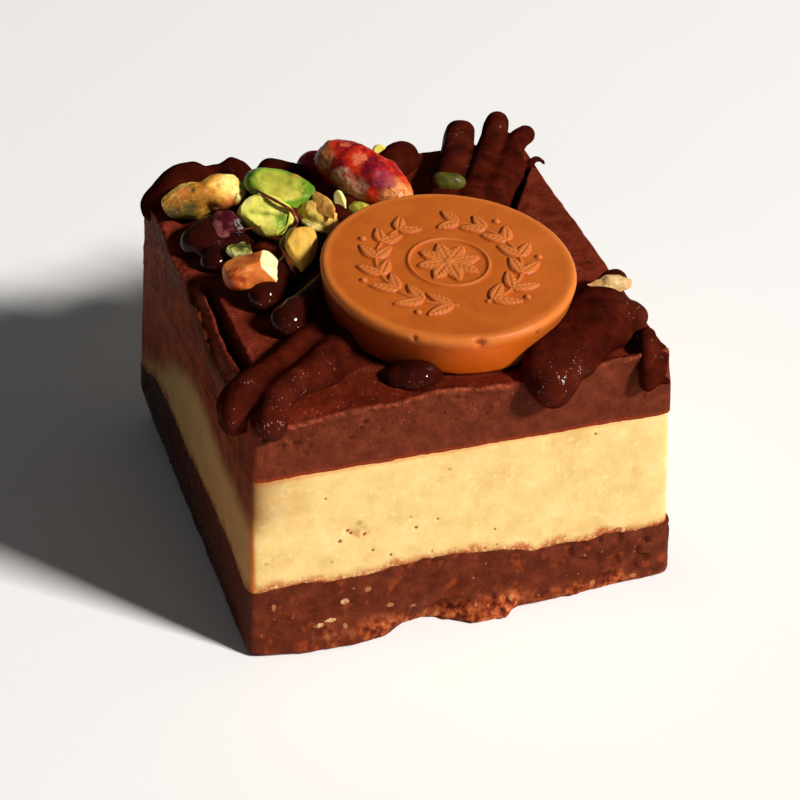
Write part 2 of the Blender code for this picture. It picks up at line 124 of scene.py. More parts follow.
# The piped chocolate, stroke by stroke: how softly the strokes of a group run together, then for each
# stroke its width at the start and at the end, and the points that it passes
STROKES = {
    "corner": (2.2, [
        (4.6, 4.2, [(-31.6, -26.8, 36.8), (-31.2, -26.0, 38.2), (-30.0, -24.6, 38.9), (-27.2, -21.8, 39.2),
                    (-20.8, -16.5, 39.6), (-14.0, -11.2, 40.0), (-9.6, -7.4, 40.0)]),
        (3.6, 3.4, [(-31.9, -24.0, 37.4), (-30.2, -22.8, 38.6), (-26.2, -20.0, 39.0)]),
        (4.1, 4.0, [(-27.6, -30.8, 37.8), (-27.4, -30.0, 39.0), (-25.2, -26.0, 39.6), (-20.9, -22.4, 39.8),
                    (-14.0, -16.8, 40.0), (-10.2, -13.8, 40.0)]),
        (8.0, 9.0, [(-21.0, -24.8, 34.9), (-15.0, -20.2, 35.3), (-8.5, -15.2, 35.6)]),
    ]),
    "left_middle": (0.4, [
        (5.0, 5.4, [(-22.3, -4.8, 41.0), (-17.0, 0.6, 41.4), (-8.0, 10.4, 41.4), (4.0, 22.4, 42.4),
                    (8.6, 27.0, 42.4), (11.2, 29.2, 42.2)]),
    ]),
    "left_low": (0.4, [
        (5.4, 5.2, [(-20.9, -11.4, 40.8), (-14.0, -5.6, 41.2), (-6.0, 3.6, 41.2)]),
    ]),
    "front": (0.8, [
        (5.6, 5.2, [(-7.6, -26.7, 38.3), (-4.8, -25.2, 38.8), (0.2, -21.4, 39.2)]),
        (4.4, 4.6, [(-9.6, -25.6, 38.2), (-5.6, -24.0, 38.6), (-1.0, -20.6, 39.0)]),
    ]),
    "left_wet": (2.0, [
        (4.6, 4.4, [(-26.6, 7.4, 40.5), (-23.6, 9.2, 41.0), (-20.0, 11.6, 41.2)]),
        (5.6, 5.2, [(-27.8, 12.4, 41.0), (-25.4, 13.8, 41.8), (-21.4, 16.6, 41.8)]),
    ]),
    "left_back": (1.4, [
        (4.6, 4.6, [(-24.0, 14.6, 41.4), (-19.6, 20.4, 41.8), (-15.6, 31.2, 42.4)]),
        (4.4, 4.6, [(-20.4, 12.0, 41.2), (-15.0, 20.4, 41.8), (-10.6, 30.2, 42.2)]),
        (5.6, 5.2, [(-28.6, 25.4, 42.0), (-25.8, 28.8, 42.9), (-21.6, 30.6, 42.8)]),
        (3.4, 3.0, [(-20.6, 30.4, 42.6), (-18.4, 30.0, 42.4)]),
        (3.6, 3.6, [(-30.4, 25.6, 39.4), (-29.8, 27.2, 41.2), (-26.4, 29.6, 42.0)]),
        (1.6, 3.0, [(-16.6, 32.0, 44.0), (-17.4, 29.0, 43.0)]),
        (2.6, 2.6, [(-11.8, 30.4, 43.0), (-8.6, 28.6, 42.8), (-5.6, 26.6, 42.4)]),
    ]),
    "right": (2.0, [
        (6.0, 6.2, [(10.4, -31.2, 37.4), (13.4, -29.0, 38.8), (18.6, -24.2, 39.6), (23.6, -19.0, 39.8)]),
        (4.4, 4.6, [(9.4, -31.0, 39.5), (12.3, -27.0, 40.2), (19.3, -20.7, 40.8), (25.3, -15.3, 40.8)]),
        (4.6, 5.0, [(11.4, -32.2, 36.6), (12.2, -32.0, 38.2), (16.0, -28.6, 40.0), (21.2, -23.5, 40.8),
                    (26.3, -17.8, 40.9)]),
        (4.0, 4.6, [(16.2, -29.6, 39.0), (21.8, -25.0, 40.2), (26.4, -20.9, 40.6)]),
        (3.0, 3.8, [(23.2, -26.0, 39.9), (26.9, -23.0, 40.4), (28.8, -21.0, 40.4)]),
        (3.8, 3.6, [(26.3, -14.6, 41.2), (29.4, -13.6, 41.8)]),
    ]),
    "right_corner": (1.0, [
        (2.8, 2.4, [(28.0, -26.0, 40.4), (26.7, -29.4, 39.4), (26.2, -31.2, 37.2), (26.2, -31.8, 34.9)]),
        (3.5, 3.2, [(28.8, -27.6, 38.9), (28.2, -29.6, 38.0), (28.0, -30.2, 35.6)]),
        (1.3, 0.9, [(27.4, -31.8, 36.4), (28.9, -32.8, 36.3)]),
    ]),
    "back": (1.0, [
        (3.6, 4.4, [(20.6, 32.8, 43.8), (17.4, 26.0, 43.2), (13.6, 18.7, 42.7), (10.0, 12.1, 42.4)]),
        (3.2, 4.4, [(21.7, 32.3, 43.8), (18.6, 25.3, 43.2), (14.8, 18.0, 42.7), (11.0, 11.5, 42.4)]),
        (4.0, 4.8, [(27.7, 33.4, 44.1), (24.4, 27.2, 43.4), (18.8, 17.7, 42.7), (14.0, 10.1, 42.3)]),
        (3.2, 3.4, [(31.2, 28.6, 43.6), (28.4, 26.6, 43.2), (24.1, 20.5, 42.6), (18.0, 10.5, 42.2)]),
        (4.6, 5.0, [(26.6, 23.4, 41.7), (21.6, 15.7, 41.6), (17.3, 9.3, 41.6)]),
    ]),
    "hook": (0.3, [
        (1.2, 0.7, [(28.2, 21.0, 41.9), (29.7, 21.7, 42.5), (30.6, 21.3, 42.3), (30.9, 20.8, 41.8)]),
    ]),
}

# How fine the meshes are: along the slice, and in the grid that the strokes come from
STEP = 0.3
VOXEL = 0.29

# That grid's corners, the distance that stands for empty, how softly the groups of strokes join, how
# deep they go into the slab, and how far they keep from the coin
STROKES_BOX = ((-35.0, -36.0, 33.0), (34.0, 35.0, 47.5))
FAR = 3.0
GROUP_BLEND = 0.3
STROKES_SUNK = 0.5
COIN_CLEARANCE = 0.12

# The strokes that are still wet and glossy, and the darkest ones
WET_STROKES = ("left_wet", "left_middle", "left_low", "front")
DARK_STROKES = ("left_wet", "left_back")

# Where the piped chocolate sparkles most, with painted glints, a painted sheen and a glossier coat: place
# and radius
SPARKLE_PLACES = [((-28.0, -31.6, 39.6), 2.4), ((-25.0, -28.8, 40.6), 2.0), ((-21.8, -25.6, 41.0), 1.6),
           ((-17.6, -22.4, 41.4), 1.6), ((-13.1, -18.6, 41.6), 1.4), ((18.2, 27.2, 45.1), 2.4),
           ((17.1, 20.8, 44.7), 1.8), ((26.0, 28.1, 45.3), 1.2), ((11.9, -33.4, 40.4), 2.4),
           ((15.4, -31.9, 40.4), 2.0), ((10.2, -33.6, 38.7), 1.6), ((27.5, -22.4, 42.6), 2.2),
           ((27.4, -29.7, 40.6), 1.2), ((-21.6, -5.9, 41.8), 1.0), ((-20.5, -12.7, 41.4), 1.2),
           ((-25.6, 9.8, 42.8), 0.8), ((-24.1, 10.0, 43.1), 1.0), ((-7.3, -28.0, 39.7), 1.1),
           ((-32.0, -27.6, 39.4), 1.8), ((-28.6, -24.0, 41.0), 1.2)]

# Thin strands of nut skin: width at the start and at the end, and the points that each passes
STRANDS = [
    (0.5, 0.7, [(-17.6, 17.4, 47.2), (-16.9, 15.8, 47.4), (-16.3, 13.8, 47.7), (-15.4, 12.0, 47.7),
                (-14.5, 10.9, 47.4), (-13.7, 10.2, 47.0), (-13.1, 9.4, 46.5), (-12.8, 8.7, 45.7),
                (-13.1, 8.4, 44.9), (-14.1, 7.7, 44.5), (-15.2, 6.4, 44.5), (-16.2, 4.6, 44.7),
                (-16.6, 2.3, 44.8), (-16.5, 1.3, 44.5), (-16.4, -0.2, 44.2), (-16.2, -1.3, 43.6),
                (-15.9, -1.9, 42.9)]),
    (0.5, 0.35, [(-21.1, 9.9, 44.5), (-20.2, 9.6, 44.8), (-19.0, 9.4, 45.0), (-17.9, 9.1, 45.2)]),
]

# Pits in the coin's rim, from its middle: place, radius, depth
PITS = [((-1.7, -18.1, -0.7), 0.7, 0.6), ((-10.1, -15.0, -0.6), 0.4, 0.3), ((7.2, -16.6, -1.4), 0.3, 0.2)]

# Small dark marks on the front of the cream: x, z, radius
DOTS = [(-20.1, 25.0, 0.2), (-16.9, 18.8, 0.3), (-16.4, 18.2, 0.28), (-18.1, 17.4, 0.3), (-14.5, 17.9, 0.3),
        (-7.0, 17.4, 0.26), (-3.8, 18.2, 0.18), (-13.3, 14.9, 0.24), (-10.7, 13.5, 0.24), (-4.6, 12.8, 0.16),
        (4.8, 14.6, 0.18), (5.2, 11.7, 0.2), (3.4, 11.5, 0.2), (19.4, 27.8, 0.2)]
FAINT_DOTS = [(-7.8, 19.5, 0.3), (-28.7, 15.9, 0.3), (-19.3, 14.2, 0.3), (-2.3, 26.3, 0.3),
              (-15.3, 20.0, 0.5)]

# Pale bits in the front of the base: x, z, half width, half height
PALE_BITS = [(-17.5, 6.9, 0.6, 0.5), (-19.6, 4.1, 0.9, 0.3), (-21.4, 3.7, 0.8, 0.3)]
FAINT_BITS = [(-10.7, 4.7, 0.5, 0.4), (-7.2, 3.7, 0.4, 0.3), (-14.0, 8.2, 0.5, 0.5), (-17.6, 3.0, 0.3, 0.3),
              (20.3, 1.8, 0.45, 0.45), (26.9, 1.4, 0.5, 0.4), (-27.8, 8.2, 0.3, 0.6), (7.5, 2.4, 0.5, 0.4)]

# How nearly flat the cuts through a kernel are
CUT_FLATNESS = 0.93

# The camera: the angles that it looks from, its place and its lens
CAMERA_AZIMUTH = 19.12
CAMERA_ELEVATION = 34.65
CAMERA_ROLL = 1.52
CAMERA_PLACE = Vector((-90.06, -262.23, 208.73))
CAMERA_LENS = 100.3

# The floor and the light, in metres
FLOOR_REACH = 3.0
FLOOR_COLOURS = ((0.94, 0.94, 0.94, 1.0), (0.96, 0.96, 0.96, 1.0))
KEY_PLACE = Vector((0.62, -0.61, 0.62)) * 3
KEY_TARGET = Vector((0, 0, 0.02))
KEY_SIZE = 0.5
KEY_POWER = 160.0
KEY_COLOUR = (1.0, 0.97, 0.93)
WORLD_STRENGTH = 0.07

# What a kernel or a chopped piece is like where its own row says nothing
PLAIN_NUT = dict(node="chocolate_layer", blunt=2.2, point=0.2, neck=0, flat=0, curl=0, pressed=(), cuts=(),
                 chips=0, fade=0.2, seam=math.inf, dents=(), wrinkle=0.1, lumps=0.15, bumps=0.08,
                 roughness=0.42, tone=0.5, top=0, back=0, start=0, end=0, blotch=0, grain=0.5, patches=())

# The kernels and chopped pieces. Sizes come first, then the planes that press or cut them, given by a
# direction and a distance. Colours are as a screen shows them, from low tone to high; a patch has a
# place, a radius and a colour.
NUTS = {
    "kernel_red": dict(node="pistachio_red", slot="pistachio_red", size=(17.4, 9.0, 7.4),
        place=(0.8, 18.8, 45.5), turn=(0, 8, -57), seed=301, blunt=2.4, point=0.3, wrinkle=0.4, bumps=0.2,
        tone=0.4, back=0.1, blotch=0.6, grain=1.0,
        colours=[(80, 8, 17), (135, 13, 14), (184, 28, 11), (206, 58, 20), (216, 104, 56)],
        patches=[((-8, -0.5, 0.5), 2, (206, 142, 70)), ((7.3, -1, 0.6), 2.8, (232, 146, 76)),
        ((-5.6, -3, 1.2), 1.9, (184, 116, 66)), ((-1, -4.4, 0.4), 2, (206, 150, 124)),
        ((2, -4.2, 0.3), 1.7, (200, 142, 118)), ((1.6, -0.8, 3.3), 1.8, (104, 6, 26)),
        # The orange patches high on the top, at z 3.4 and 3.5, are painted highlights.
        ((4.6, -1.6, 2.6), 1.7, (150, 48, 66)), ((-4.6, 0.2, 3.4), 0.8, (232, 112, 70)),
        ((-0.6, -1.2, 3.5), 1.2, (228, 114, 80))]),
    "kernel_green": dict(node="pistachio_green", slot="pistachio_green", size=(12.4, 8.2, 6.0),
        place=(-12.6, 17.8, 45.4), turn=(-14, 4, -46), seed=311, point=0.05, flat=0.5,
        pressed=[((0.8, 0.6, 0), 4.5), ((-0.85, 0.5, 0), 4.7), ((0.75, -0.65, 0), 4.4)],
        cuts=[((0.1, -0.5, 0.85), 2.1)], chips=0.4, fade=0.7, wrinkle=0.22, blotch=0.5,
        colours=[(50, 84, 12), (84, 124, 22), (122, 156, 36), (160, 180, 56)],
        inside=[(152, 160, 50), (188, 184, 68), (210, 196, 84)],
        patches=[((1.5, 1.4, 2.4), 0.9, (222, 150, 66)), ((5.2, 0.4, 1.4), 2.2, (92, 134, 26)),
        ((-1, 3.6, 1.6), 1.8, (104, 146, 30))]),
    "kernel_split": dict(node="pistachio_split", slot="pistachio_green", size=(8.6, 6.8, 5.2),
        place=(-16.3, 12.6, 44.7), turn=(24, 2, -36), seed=321, blunt=2.6, point=0.0, flat=0.4,
        pressed=[((-0.9, 0.45, 0), 3.2), ((0.4, 0.9, 0), 2.9), ((0.95, -0.3, 0), 3.5),
        ((-0.35, -0.95, 0), 2.8)], cuts=[((0.05, -0.15, 0.95), 1.9)], chips=0.4, fade=0.8, seam=-0.9,
        wrinkle=0.24, tone=0.62, blotch=0.3, grain=0.45,
        colours=[(96, 124, 28), (184, 192, 64), (240, 230, 102), (252, 240, 132)],
        inside=[(200, 206, 80), (252, 240, 116), (255, 250, 158)],
        patches=[((3.6, -1.4, 1.6), 1.6, (104, 146, 40)), ((-3.8, 0.6, 1.6), 1.6, (236, 222, 132))]),
    "kernel_brown": dict(node="pistachio_brown", slot="pistachio_tan", size=(12.2, 7.0, 6.6),
        place=(-23.5, 21.2, 44.2), turn=(6, -8, 1), seed=331, point=-0.12, neck=0.1, flat=0.2,
        dents=[((-0.4, -3.0, 0.4), 1.4, 0.7), ((-0.2, 2.6, 1.8), 1.3, 0.5)], wrinkle=0.6, lumps=0.6,
        bumps=0.2, tone=0.46, top=0.34, back=0.1, blotch=0.5, grain=0.6,
        colours=[(40, 36, 12), (104, 76, 22), (184, 120, 36), (220, 160, 56), (248, 214, 108)],
        patches=[((4.7, -0.8, 1.4), 2.6, (246, 224, 128)), ((2, 1.8, 2.4), 1.8, (208, 130, 52)),
        ((-3, -0.7, 2.6), 1.3, (212, 126, 60)), ((-4.4, -2.2, -0.2), 2.4, (78, 66, 22)),
        ((-0.6, -1.6, 2.4), 1.1, (180, 114, 40)), ((2.6, -3, -0.4), 1.6, (200, 108, 50)),
        ((-4.4, -1.2, 1.8), 1, (150, 88, 32))]),
    "kernel_tan": dict(node="pistachio_tan", slot="pistachio_tan", size=(7.6, 5.4, 5.0),
        place=(-8.6, 11.2, 43.8), turn=(0, 14, -84), seed=341, wrinkle=0.7, lumps=0.7, bumps=0.22,
        tone=0.52, start=0.3, end=-0.2, blotch=0.7, grain=0.7,
        colours=[(104, 96, 38), (188, 166, 72), (236, 196, 94), (244, 188, 92), (246, 212, 130)],
        patches=[((-1.4, 0.6, 2.3), 1.1, (226, 136, 60))]),
    "chunk": dict(node="pistachio_chunk", slot="pistachio_chunk", size=(9.2, 6.0, 5.4),
        place=(-21.7, -0.8, 43.8), turn=(0, -4, -2), seed=351, blunt=3.2, point=-0.2, flat=0.3,
        pressed=[((-0.15, 0.1, 1), 2.3), ((0, -1, 0.25), 2.5)], cuts=[((0.8, -0.24, 0.56), 2.3)],
        chips=0.15, fade=0.3, top=0.16, blotch=0.5,
        colours=[(98, 34, 8), (160, 68, 20), (206, 110, 42), (224, 138, 66)],
        inside=[(238, 210, 138), (248, 232, 170), (252, 242, 196)],
        patches=[((-3.6, -2, 0.8), 1.9, (148, 54, 10))]),
    "wedge": dict(node="pistachio_wedge", slot="pistachio_tan", size=(8.4, 4.8, 4.6),
        place=(-13.9, 2.4, 44.7), turn=(0, 22, -106), seed=361, point=0.8, flat=0.2,
        cuts=[((0.15, 0.05, 1.0), 1.5), ((0.3, 0.95, 0.2), 1.8), ((-0.8, -0.1, 0.6), 2.8)], chips=0.3,
        fade=0.5, wrinkle=0.18, blotch=0.3, grain=0.35,
        colours=[(196, 142, 46), (220, 172, 68), (238, 198, 96)],
        inside=[(210, 160, 62), (230, 184, 80), (242, 208, 110)],
        patches=[((-1.6, -0.9, 1.6), 0.28, (150, 80, 24))]),
    "crimson_bit": dict(slot="pistachio_red", size=(5.6, 4.0, 3.8), place=(-4.4, 28.5, 43.2),
        turn=(0, -30, -41), seed=371, wrinkle=0.3, bumps=0.14, tone=0.45, blotch=0.6,
        colours=[(76, 2, 14), (130, 8, 26), (166, 22, 38), (190, 60, 60)]),
    "yellow_bit": dict(slot="pistachio_tan", size=(3.0, 2.4, 2.2), place=(6.4, 28.2, 43.8),
        turn=(0, 20, -30), seed=381, cuts=[((0, -1, 0.8), 0.8), ((1, 0, 1), 0.9)], blotch=0.3,
        colours=[(206, 180, 60), (232, 214, 90), (240, 230, 130)]),
    "pale_crumb": dict(slot="pistachio_tan", size=(4.8, 2.0, 2.0), place=(-4.2, 14.2, 43.9),
        turn=(0, 40, -81), seed=391, point=0.7, cuts=[((0, -1, 0.8), 0.5), ((0, 1, 1), 0.6)], tone=0.6,
        blotch=0.3, colours=[(206, 200, 110), (238, 230, 150), (246, 240, 180)]),
    "olive_crumb": dict(slot="pistachio_green", size=(4.4, 3.0, 2.8), place=(-1.6, 12.8, 43.0),
        turn=(0, 8, -37), seed=401, wrinkle=0.35, lumps=0.3, blotch=0.7, grain=0.8,
        colours=[(66, 64, 18), (132, 126, 34), (192, 178, 66), (222, 208, 104)]),
    "olive_bit": dict(slot="pistachio_green", size=(5.0, 3.0, 3.4), place=(12.6, 14.2, 45.0),
        turn=(10, 0, -16), seed=411, blunt=3.0, wrinkle=0.25, end=0.25, blotch=0.6,
        colours=[(30, 28, 8), (60, 56, 14), (88, 84, 24), (116, 106, 42)]),
    "tan_flake": dict(slot="pistachio_tan", size=(6.2, 2.8, 1.2), place=(25.9, -17.1, 43.2),
        turn=(-22, 5, 161), seed=427, point=0.75, curl=0.2, wrinkle=0.6, lumps=0.7, tone=0.6, top=0.2,
        blotch=0.5, colours=[(104, 52, 20), (168, 114, 60), (208, 160, 98), (230, 194, 136)]),
    "fuzzy_flake": dict(slot="pistachio_tan", size=(2.8, 1.6, 0.8), place=(-21.8, 6.9, 43.1),
        turn=(10, 0, 8), seed=431, curl=0.3, wrinkle=1.2, lumps=0.9, tone=0.4, blotch=1.0, grain=1.2,
        colours=[(36, 34, 14), (92, 92, 36), (166, 162, 74), (226, 220, 150)]),
    "shard_a": dict(slot="pistachio_tan", size=(7.0, 2.0, 0.8), place=(-7.9, 10.4, 46.0), turn=(30, 6, -82),
        seed=451, point=0.4, curl=0.3, wrinkle=0.5, lumps=0.5, blotch=0.8, grain=0.7,
        colours=[(120, 84, 30), (204, 142, 62), (238, 184, 92), (246, 216, 138)]),
    "shard_b": dict(slot="pistachio_tan", size=(5.0, 2.2, 0.9), place=(-10.7, 7.0, 44.9),
        turn=(-20, 4, -58), seed=461, point=0.5, curl=0.3, wrinkle=0.5, lumps=0.6, tone=0.55, blotch=0.8,
        grain=0.7, colours=[(92, 86, 30), (160, 142, 62), (206, 186, 102), (238, 224, 160)]),
    "skin_flake": dict(slot="pistachio_red", size=(4.8, 6.0, 0.5), place=(-22.6, 12.0, 44.2),
        turn=(52, 6, -24), seed=441, blunt=2.8, curl=-0.5, wrinkle=0.55, lumps=0.5, bumps=0.2,
        roughness=0.2, tone=0.42, blotch=0.7,
        colours=[(20, 3, 7), (42, 8, 14), (76, 18, 26), (156, 92, 88)]),
}


def lattice(i, j, k, seed):
    """A repeatable random number from 0 to 1 for each point of a whole-number lattice."""
    mixed = (i * 73856093) ^ (j * 19349663) ^ (k * 83492791) ^ (seed * 49979687)
    mixed = ((mixed ^ (mixed >> 13)) * 1274126177) & 0xFFFFFFFF
    mixed = ((mixed ^ (mixed >> 15)) * 668265263) & 0xFFFFFFFF
    return ((mixed ^ (mixed >> 16)) & 0xFFFF) / 0xFFFF


def noise(points, size, seed):
    """Smooth noise from -1 to 1 at each point, with features of about this size."""
    at = points / size
    cell = np.floor(at).astype(np.int64)
    part = at - cell
    part = part * part * (3 - 2 * part)
    total = np.zeros(len(points))
    for corner in range(8):
        step = np.array([corner & 1, corner >> 1 & 1, corner >> 2])
        weight = np.prod(np.where(step, part, 1 - part), axis=1)
        i, j, k = (cell + step).T
        total += weight * lattice(i, j, k, seed)
    return total * 2 - 1


def fractal(points, size, seed, octaves=3):
    """Noise with finer noise on top of it."""
    total = np.zeros(len(points))
    for octave in range(octaves):
        total += noise(points, size / 2 ** octave, seed + octave) / 2 ** octave
    return total / 1.5


def grains(points, size, seed):
    """How far each point is from the nearest grain's middle, in sizes, and that grain's own number."""
    at = points / size
    cell = np.floor(at).astype(np.int64)
    nearest = np.full(len(points), 9.0)
    own = np.zeros(len(points))
    for neighbour in np.ndindex(3, 3, 3):
        i, j, k = (cell + neighbour - 1).T
        shift = [lattice(i, j, k, seed + axis) for axis in range(3)]
        middle = np.stack([i, j, k], axis=1) + np.stack(shift, axis=1)
        gap = np.linalg.norm(at - middle, axis=1)
        closer = gap < nearest
        nearest = np.where(closer, gap, nearest)
        own = np.where(closer, lattice(i, j, k, seed + 3), own)
    return nearest, own


def smooth_step(low, high, value):
    t = np.clip((value - low) / (high - low), 0, 1)
    return t * t * (3 - 2 * t)


def spot(*offsets):
    """A soft spot: 1 where every offset is 0, next to nothing where one is 2."""
    return np.exp(-sum(offset ** 2 for offset in offsets))


def ball(points, place, radius):
    """A soft ball round a place."""
    return np.exp(-np.sum((points - place) ** 2, axis=1) / radius ** 2)


def along(profile, place):
    """Reads a profile of (place, value) pairs, smoothly between them."""
    places, values = zip(*profile)
    return np.interp(place, places, values)


def smooth_union(a, b, blend):
    near = np.clip(blend - np.abs(a - b), 0, None) / blend
    return np.minimum(a, b) - near * near * blend / 4


def on_floor(x, y):
    return np.stack([x, y, np.zeros_like(x)], axis=-1)


def unit(vectors):
    return vectors / np.linalg.norm(vectors, axis=-1, keepdims=True)


def corner_rounding(u, v):
    """How much a point on a square's outline is drawn in by its rounded corners."""
    return (np.abs(u) ** CORNER_POWER + np.abs(v) ** CORNER_POWER) ** (-1 / CORNER_POWER)


def square_outline(turns):
    """Follows a square with rounded corners, once round in 4 turns, as u and v from -1 to 1."""
    side = np.floor(turns).astype(int) % 4
    t = (turns % 1) * 2 - 1
    u = np.choose(side, [np.ones_like(t), -t, -np.ones_like(t), t])
    v = np.choose(side, [t, np.ones_like(t), -t, -np.ones_like(t)])
    rounding = corner_rounding(u, v)
    return u * rounding, v * rounding


def half_sizes(u, v, z):
    """The slice's half width and half depth at a height, on the side that u and v point to."""
    drop = 1 - z / SLICE_HEIGHT
    skew = (SKEW_TOP + SKEW_LOW * drop) * smooth_step(0, SKEW_FOOT, z) * (1 + v) / 2
    width = HALF_WIDTH + np.where(u > 0, FLARE_RIGHT * drop, FLARE_LEFT * drop + skew)
    depth = HALF_DEPTH + np.where(v > 0, FLARE_BACK, FLARE_FRONT) * drop
    return width, depth


def place_in_slice(u, v, z):
    u, v, z = np.broadcast_arrays(u, v, z)
    width, depth = half_sizes(u, v, z)
    return np.stack([u * width, v * depth, z], axis=-1)


def sides(u, v):
    """How much a point of the outline belongs to the front and to the left side, from 0 to 1."""
    return np.clip(-v, 0, 1) ** SIDE_SHARPNESS, np.clip(-u, 0, 1) ** SIDE_SHARPNESS


def right_side(u):
    return np.clip(u, 0, 1) ** SIDE_SHARPNESS


def turned_left(front, left):
    """Whether a point belongs to the left side rather than the front, from 0 to 1."""
    return smooth_step(-0.15, 0.15, left - front) * smooth_step(0.3, 0.6, left)


def outwards(u, v):
    """The direction that points out of the side or corner on which u and v lie."""
    return unit(on_floor(np.sign(u) * np.abs(u) ** OUT_SHARPNESS, np.sign(v) * np.abs(v) ** OUT_SHARPNESS))


def drawn_in(ring):
    """A ring of the outline, moved inside the slice a little, where neighbours hide it."""
    return ring * (1 - HIDDEN_INSET / HALF_WIDTH, 1 - HIDDEN_INSET / HALF_WIDTH, 1)


def cream_foot(u, v):
    """The height where the base ends and the cream starts."""
    front, left = sides(u, v)
    place = place_in_slice(u, v, 10.0)
    ripple = 0.4 * noise(place, 5.0, 11) + 0.3 * noise(place, 1.5, 12) + 0.22 * noise(place, 0.7, 13)
    rest = CREAM_FOOT_ELSEWHERE + 0.6 * noise(place, 9.0, 14)
    low = rest + front * (along(CREAM_FOOT_FRONT, place[..., 0]) - rest)
    low += left * (1 - front) * (along(CREAM_FOOT_LEFT, place[..., 1]) - low)
    return low + ripple * (0.6 + 0.4 * (1 - front))


def cream_top(u, v):
    """The height where the cream ends and the chocolate starts."""
    place = place_in_slice(u, v, CREAM_TOP)
    return CREAM_TOP + CREAM_RISE_RIGHT * u + 0.12 * noise(place, 3.0, 21) + 0.08 * noise(place, 0.9, 22)


def mesh_object(name, verts, faces):
    """Makes an object from points in millimetres."""
    mesh = bpy.data.meshes.new(name)
    mesh.from_pydata((np.asarray(verts) * MM).tolist(), [], faces)
    mesh.validate()
    mesh.shade_smooth()
    thing = bpy.data.objects.new(name, mesh)
    bpy.context.scene.collection.objects.link(thing)
    return thing


def store(thing, **masks):
    """Keeps numbers for each point, for the material to read."""
    for name, values in masks.items():
        attribute = thing.data.attributes.new(name, "FLOAT", "POINT")
        attribute.data.foreach_set("value", np.asarray(values, dtype=np.float32))


def grid_faces(grid, closed=False, flipped=False):
    """The faces between neighbours in a grid of point numbers, which may close on itself."""
    if closed:
        grid = np.concatenate([grid, grid[:, :1]], axis=1)
    faces = np.stack([grid[:-1, :-1], grid[1:, :-1], grid[1:, 1:], grid[:-1, 1:]], axis=-1).reshape(-1, 4)
    return (faces[:, [0, 3, 2, 1]] if flipped else faces).tolist()


def fan(ring, middle):
    """The faces between a closed ring of points and one in its middle."""
    return [[int(b), int(a), middle] for a, b in zip(ring, np.roll(ring, -1))]


def loft(rings, first_cap, last_cap):
    """Points and faces that join closed rings one after another, with a fan at each end."""
    count, around = len(rings), len(rings[0])
    index = np.arange(count * around).reshape(count, around)
    verts = np.concatenate([np.reshape(rings, (-1, 3)), [first_cap], [last_cap]])
    faces = grid_faces(index, closed=True, flipped=True)
    return verts, faces + fan(index[0], index.size) + fan(index[-1][::-1], index.size + 1)


def build_layer(name, floor, ceiling, relief):
    """A layer with finely modelled cut faces. Its floor and ceiling are hidden by its neighbours."""
    per_side = int(2 * HALF_WIDTH / STEP)
    u, v = square_outline(np.arange(4 * per_side) / per_side)
    low, high = floor(u, v), ceiling(u, v)
    rows = int((np.max(high) - np.min(low)) / STEP) + 1
    z = low + (high - low) * np.linspace(0, 1, rows)[:, None]
    places = place_in_slice(u, v, z)
    flat = places.reshape(-1, 3)
    push, masks = relief(flat, np.tile(u, rows), np.tile(v, rows), np.tile(low, rows))
    places += (push[:, None] * np.tile(outwards(u, v), (rows, 1))).reshape(places.shape)
    inner = drawn_in(places[[0, -1]])
    rings = np.concatenate([inner[:1], places, inner[1:]])
    verts, faces = loft(rings, inner[0].mean(axis=0), inner[1].mean(axis=0))
    thing = mesh_object(name, verts, faces)
    for mask, values in masks.items():
        values = values.reshape(rows, -1)
        full = np.concatenate([values[:1], values, values[-1:]]).ravel()
        store(thing, **{mask: np.append(full, [full[0], full[-1]])})
    return thing


def base_relief(places, u, v, _):
    """Pressed fudge: a smooth cut above, crumbs and lumps along the foot, and a few pits."""
    front, left = sides(u, v)
    x, z = places[:, 0], places[:, 2]
    line = 3.2 + 1.2 * noise(places * (1, 1, 0), 6.0, 47) - 2.6 * smooth_step(-22, -27, x) * front
    patchy = 0.3 + 0.7 * smooth_step(-0.2, 0.25, noise(places, 3.4, 48))
    crumbs = smooth_step(line, line - 2.2, z) * (1 - 0.6 * left) * patchy
    gap, own = grains(places, 1.3, 31)
    fine_gap, fine_own = grains(places, 0.6, 37)
    ragged = 0.12 + 0.88 * crumbs
    push = 0.16 * fractal(places, 4.0, 41) + ragged * 0.55 * (own - 0.4) * smooth_step(0.7, 0.25, gap)
    push += ragged * 0.16 * (fine_own - 0.5) * smooth_step(0.7, 0.3, fine_gap)
    holes = smooth_step(0.45, 0.65, noise(places, 1.5, 43)) * smooth_step(0.1, 0.5, noise(places, 7.0, 44))
    push -= 0.45 * holes * (1 - 0.7 * left)
    foot = smooth_step(4.5, 0.3, z)
    push += front * foot * along(FOOT_FRONT, x)
    push += (1 - front) * (1 - left) * foot * (0.1 + 0.4 * noise(places, 7.0, 46))
    push += 0.45 * right_side(u)
    for px, pz, wide, high in PALE_BITS:
        push += front * 0.18 * spot((x - px) / wide, (z - pz) / high)
    push -= front * 1.1 * spot((x + 2.4) / 2.2, (z - 2.2) / 1.5)
    push -= 0.9 * smooth_step(0.9, 0.0, z) ** 2 + 0.5 * smooth_step(2.0, 0.0, z) ** 2 * right_side(u)
    return push, dict(crumbs=crumbs, front=front, left=turned_left(front, left))


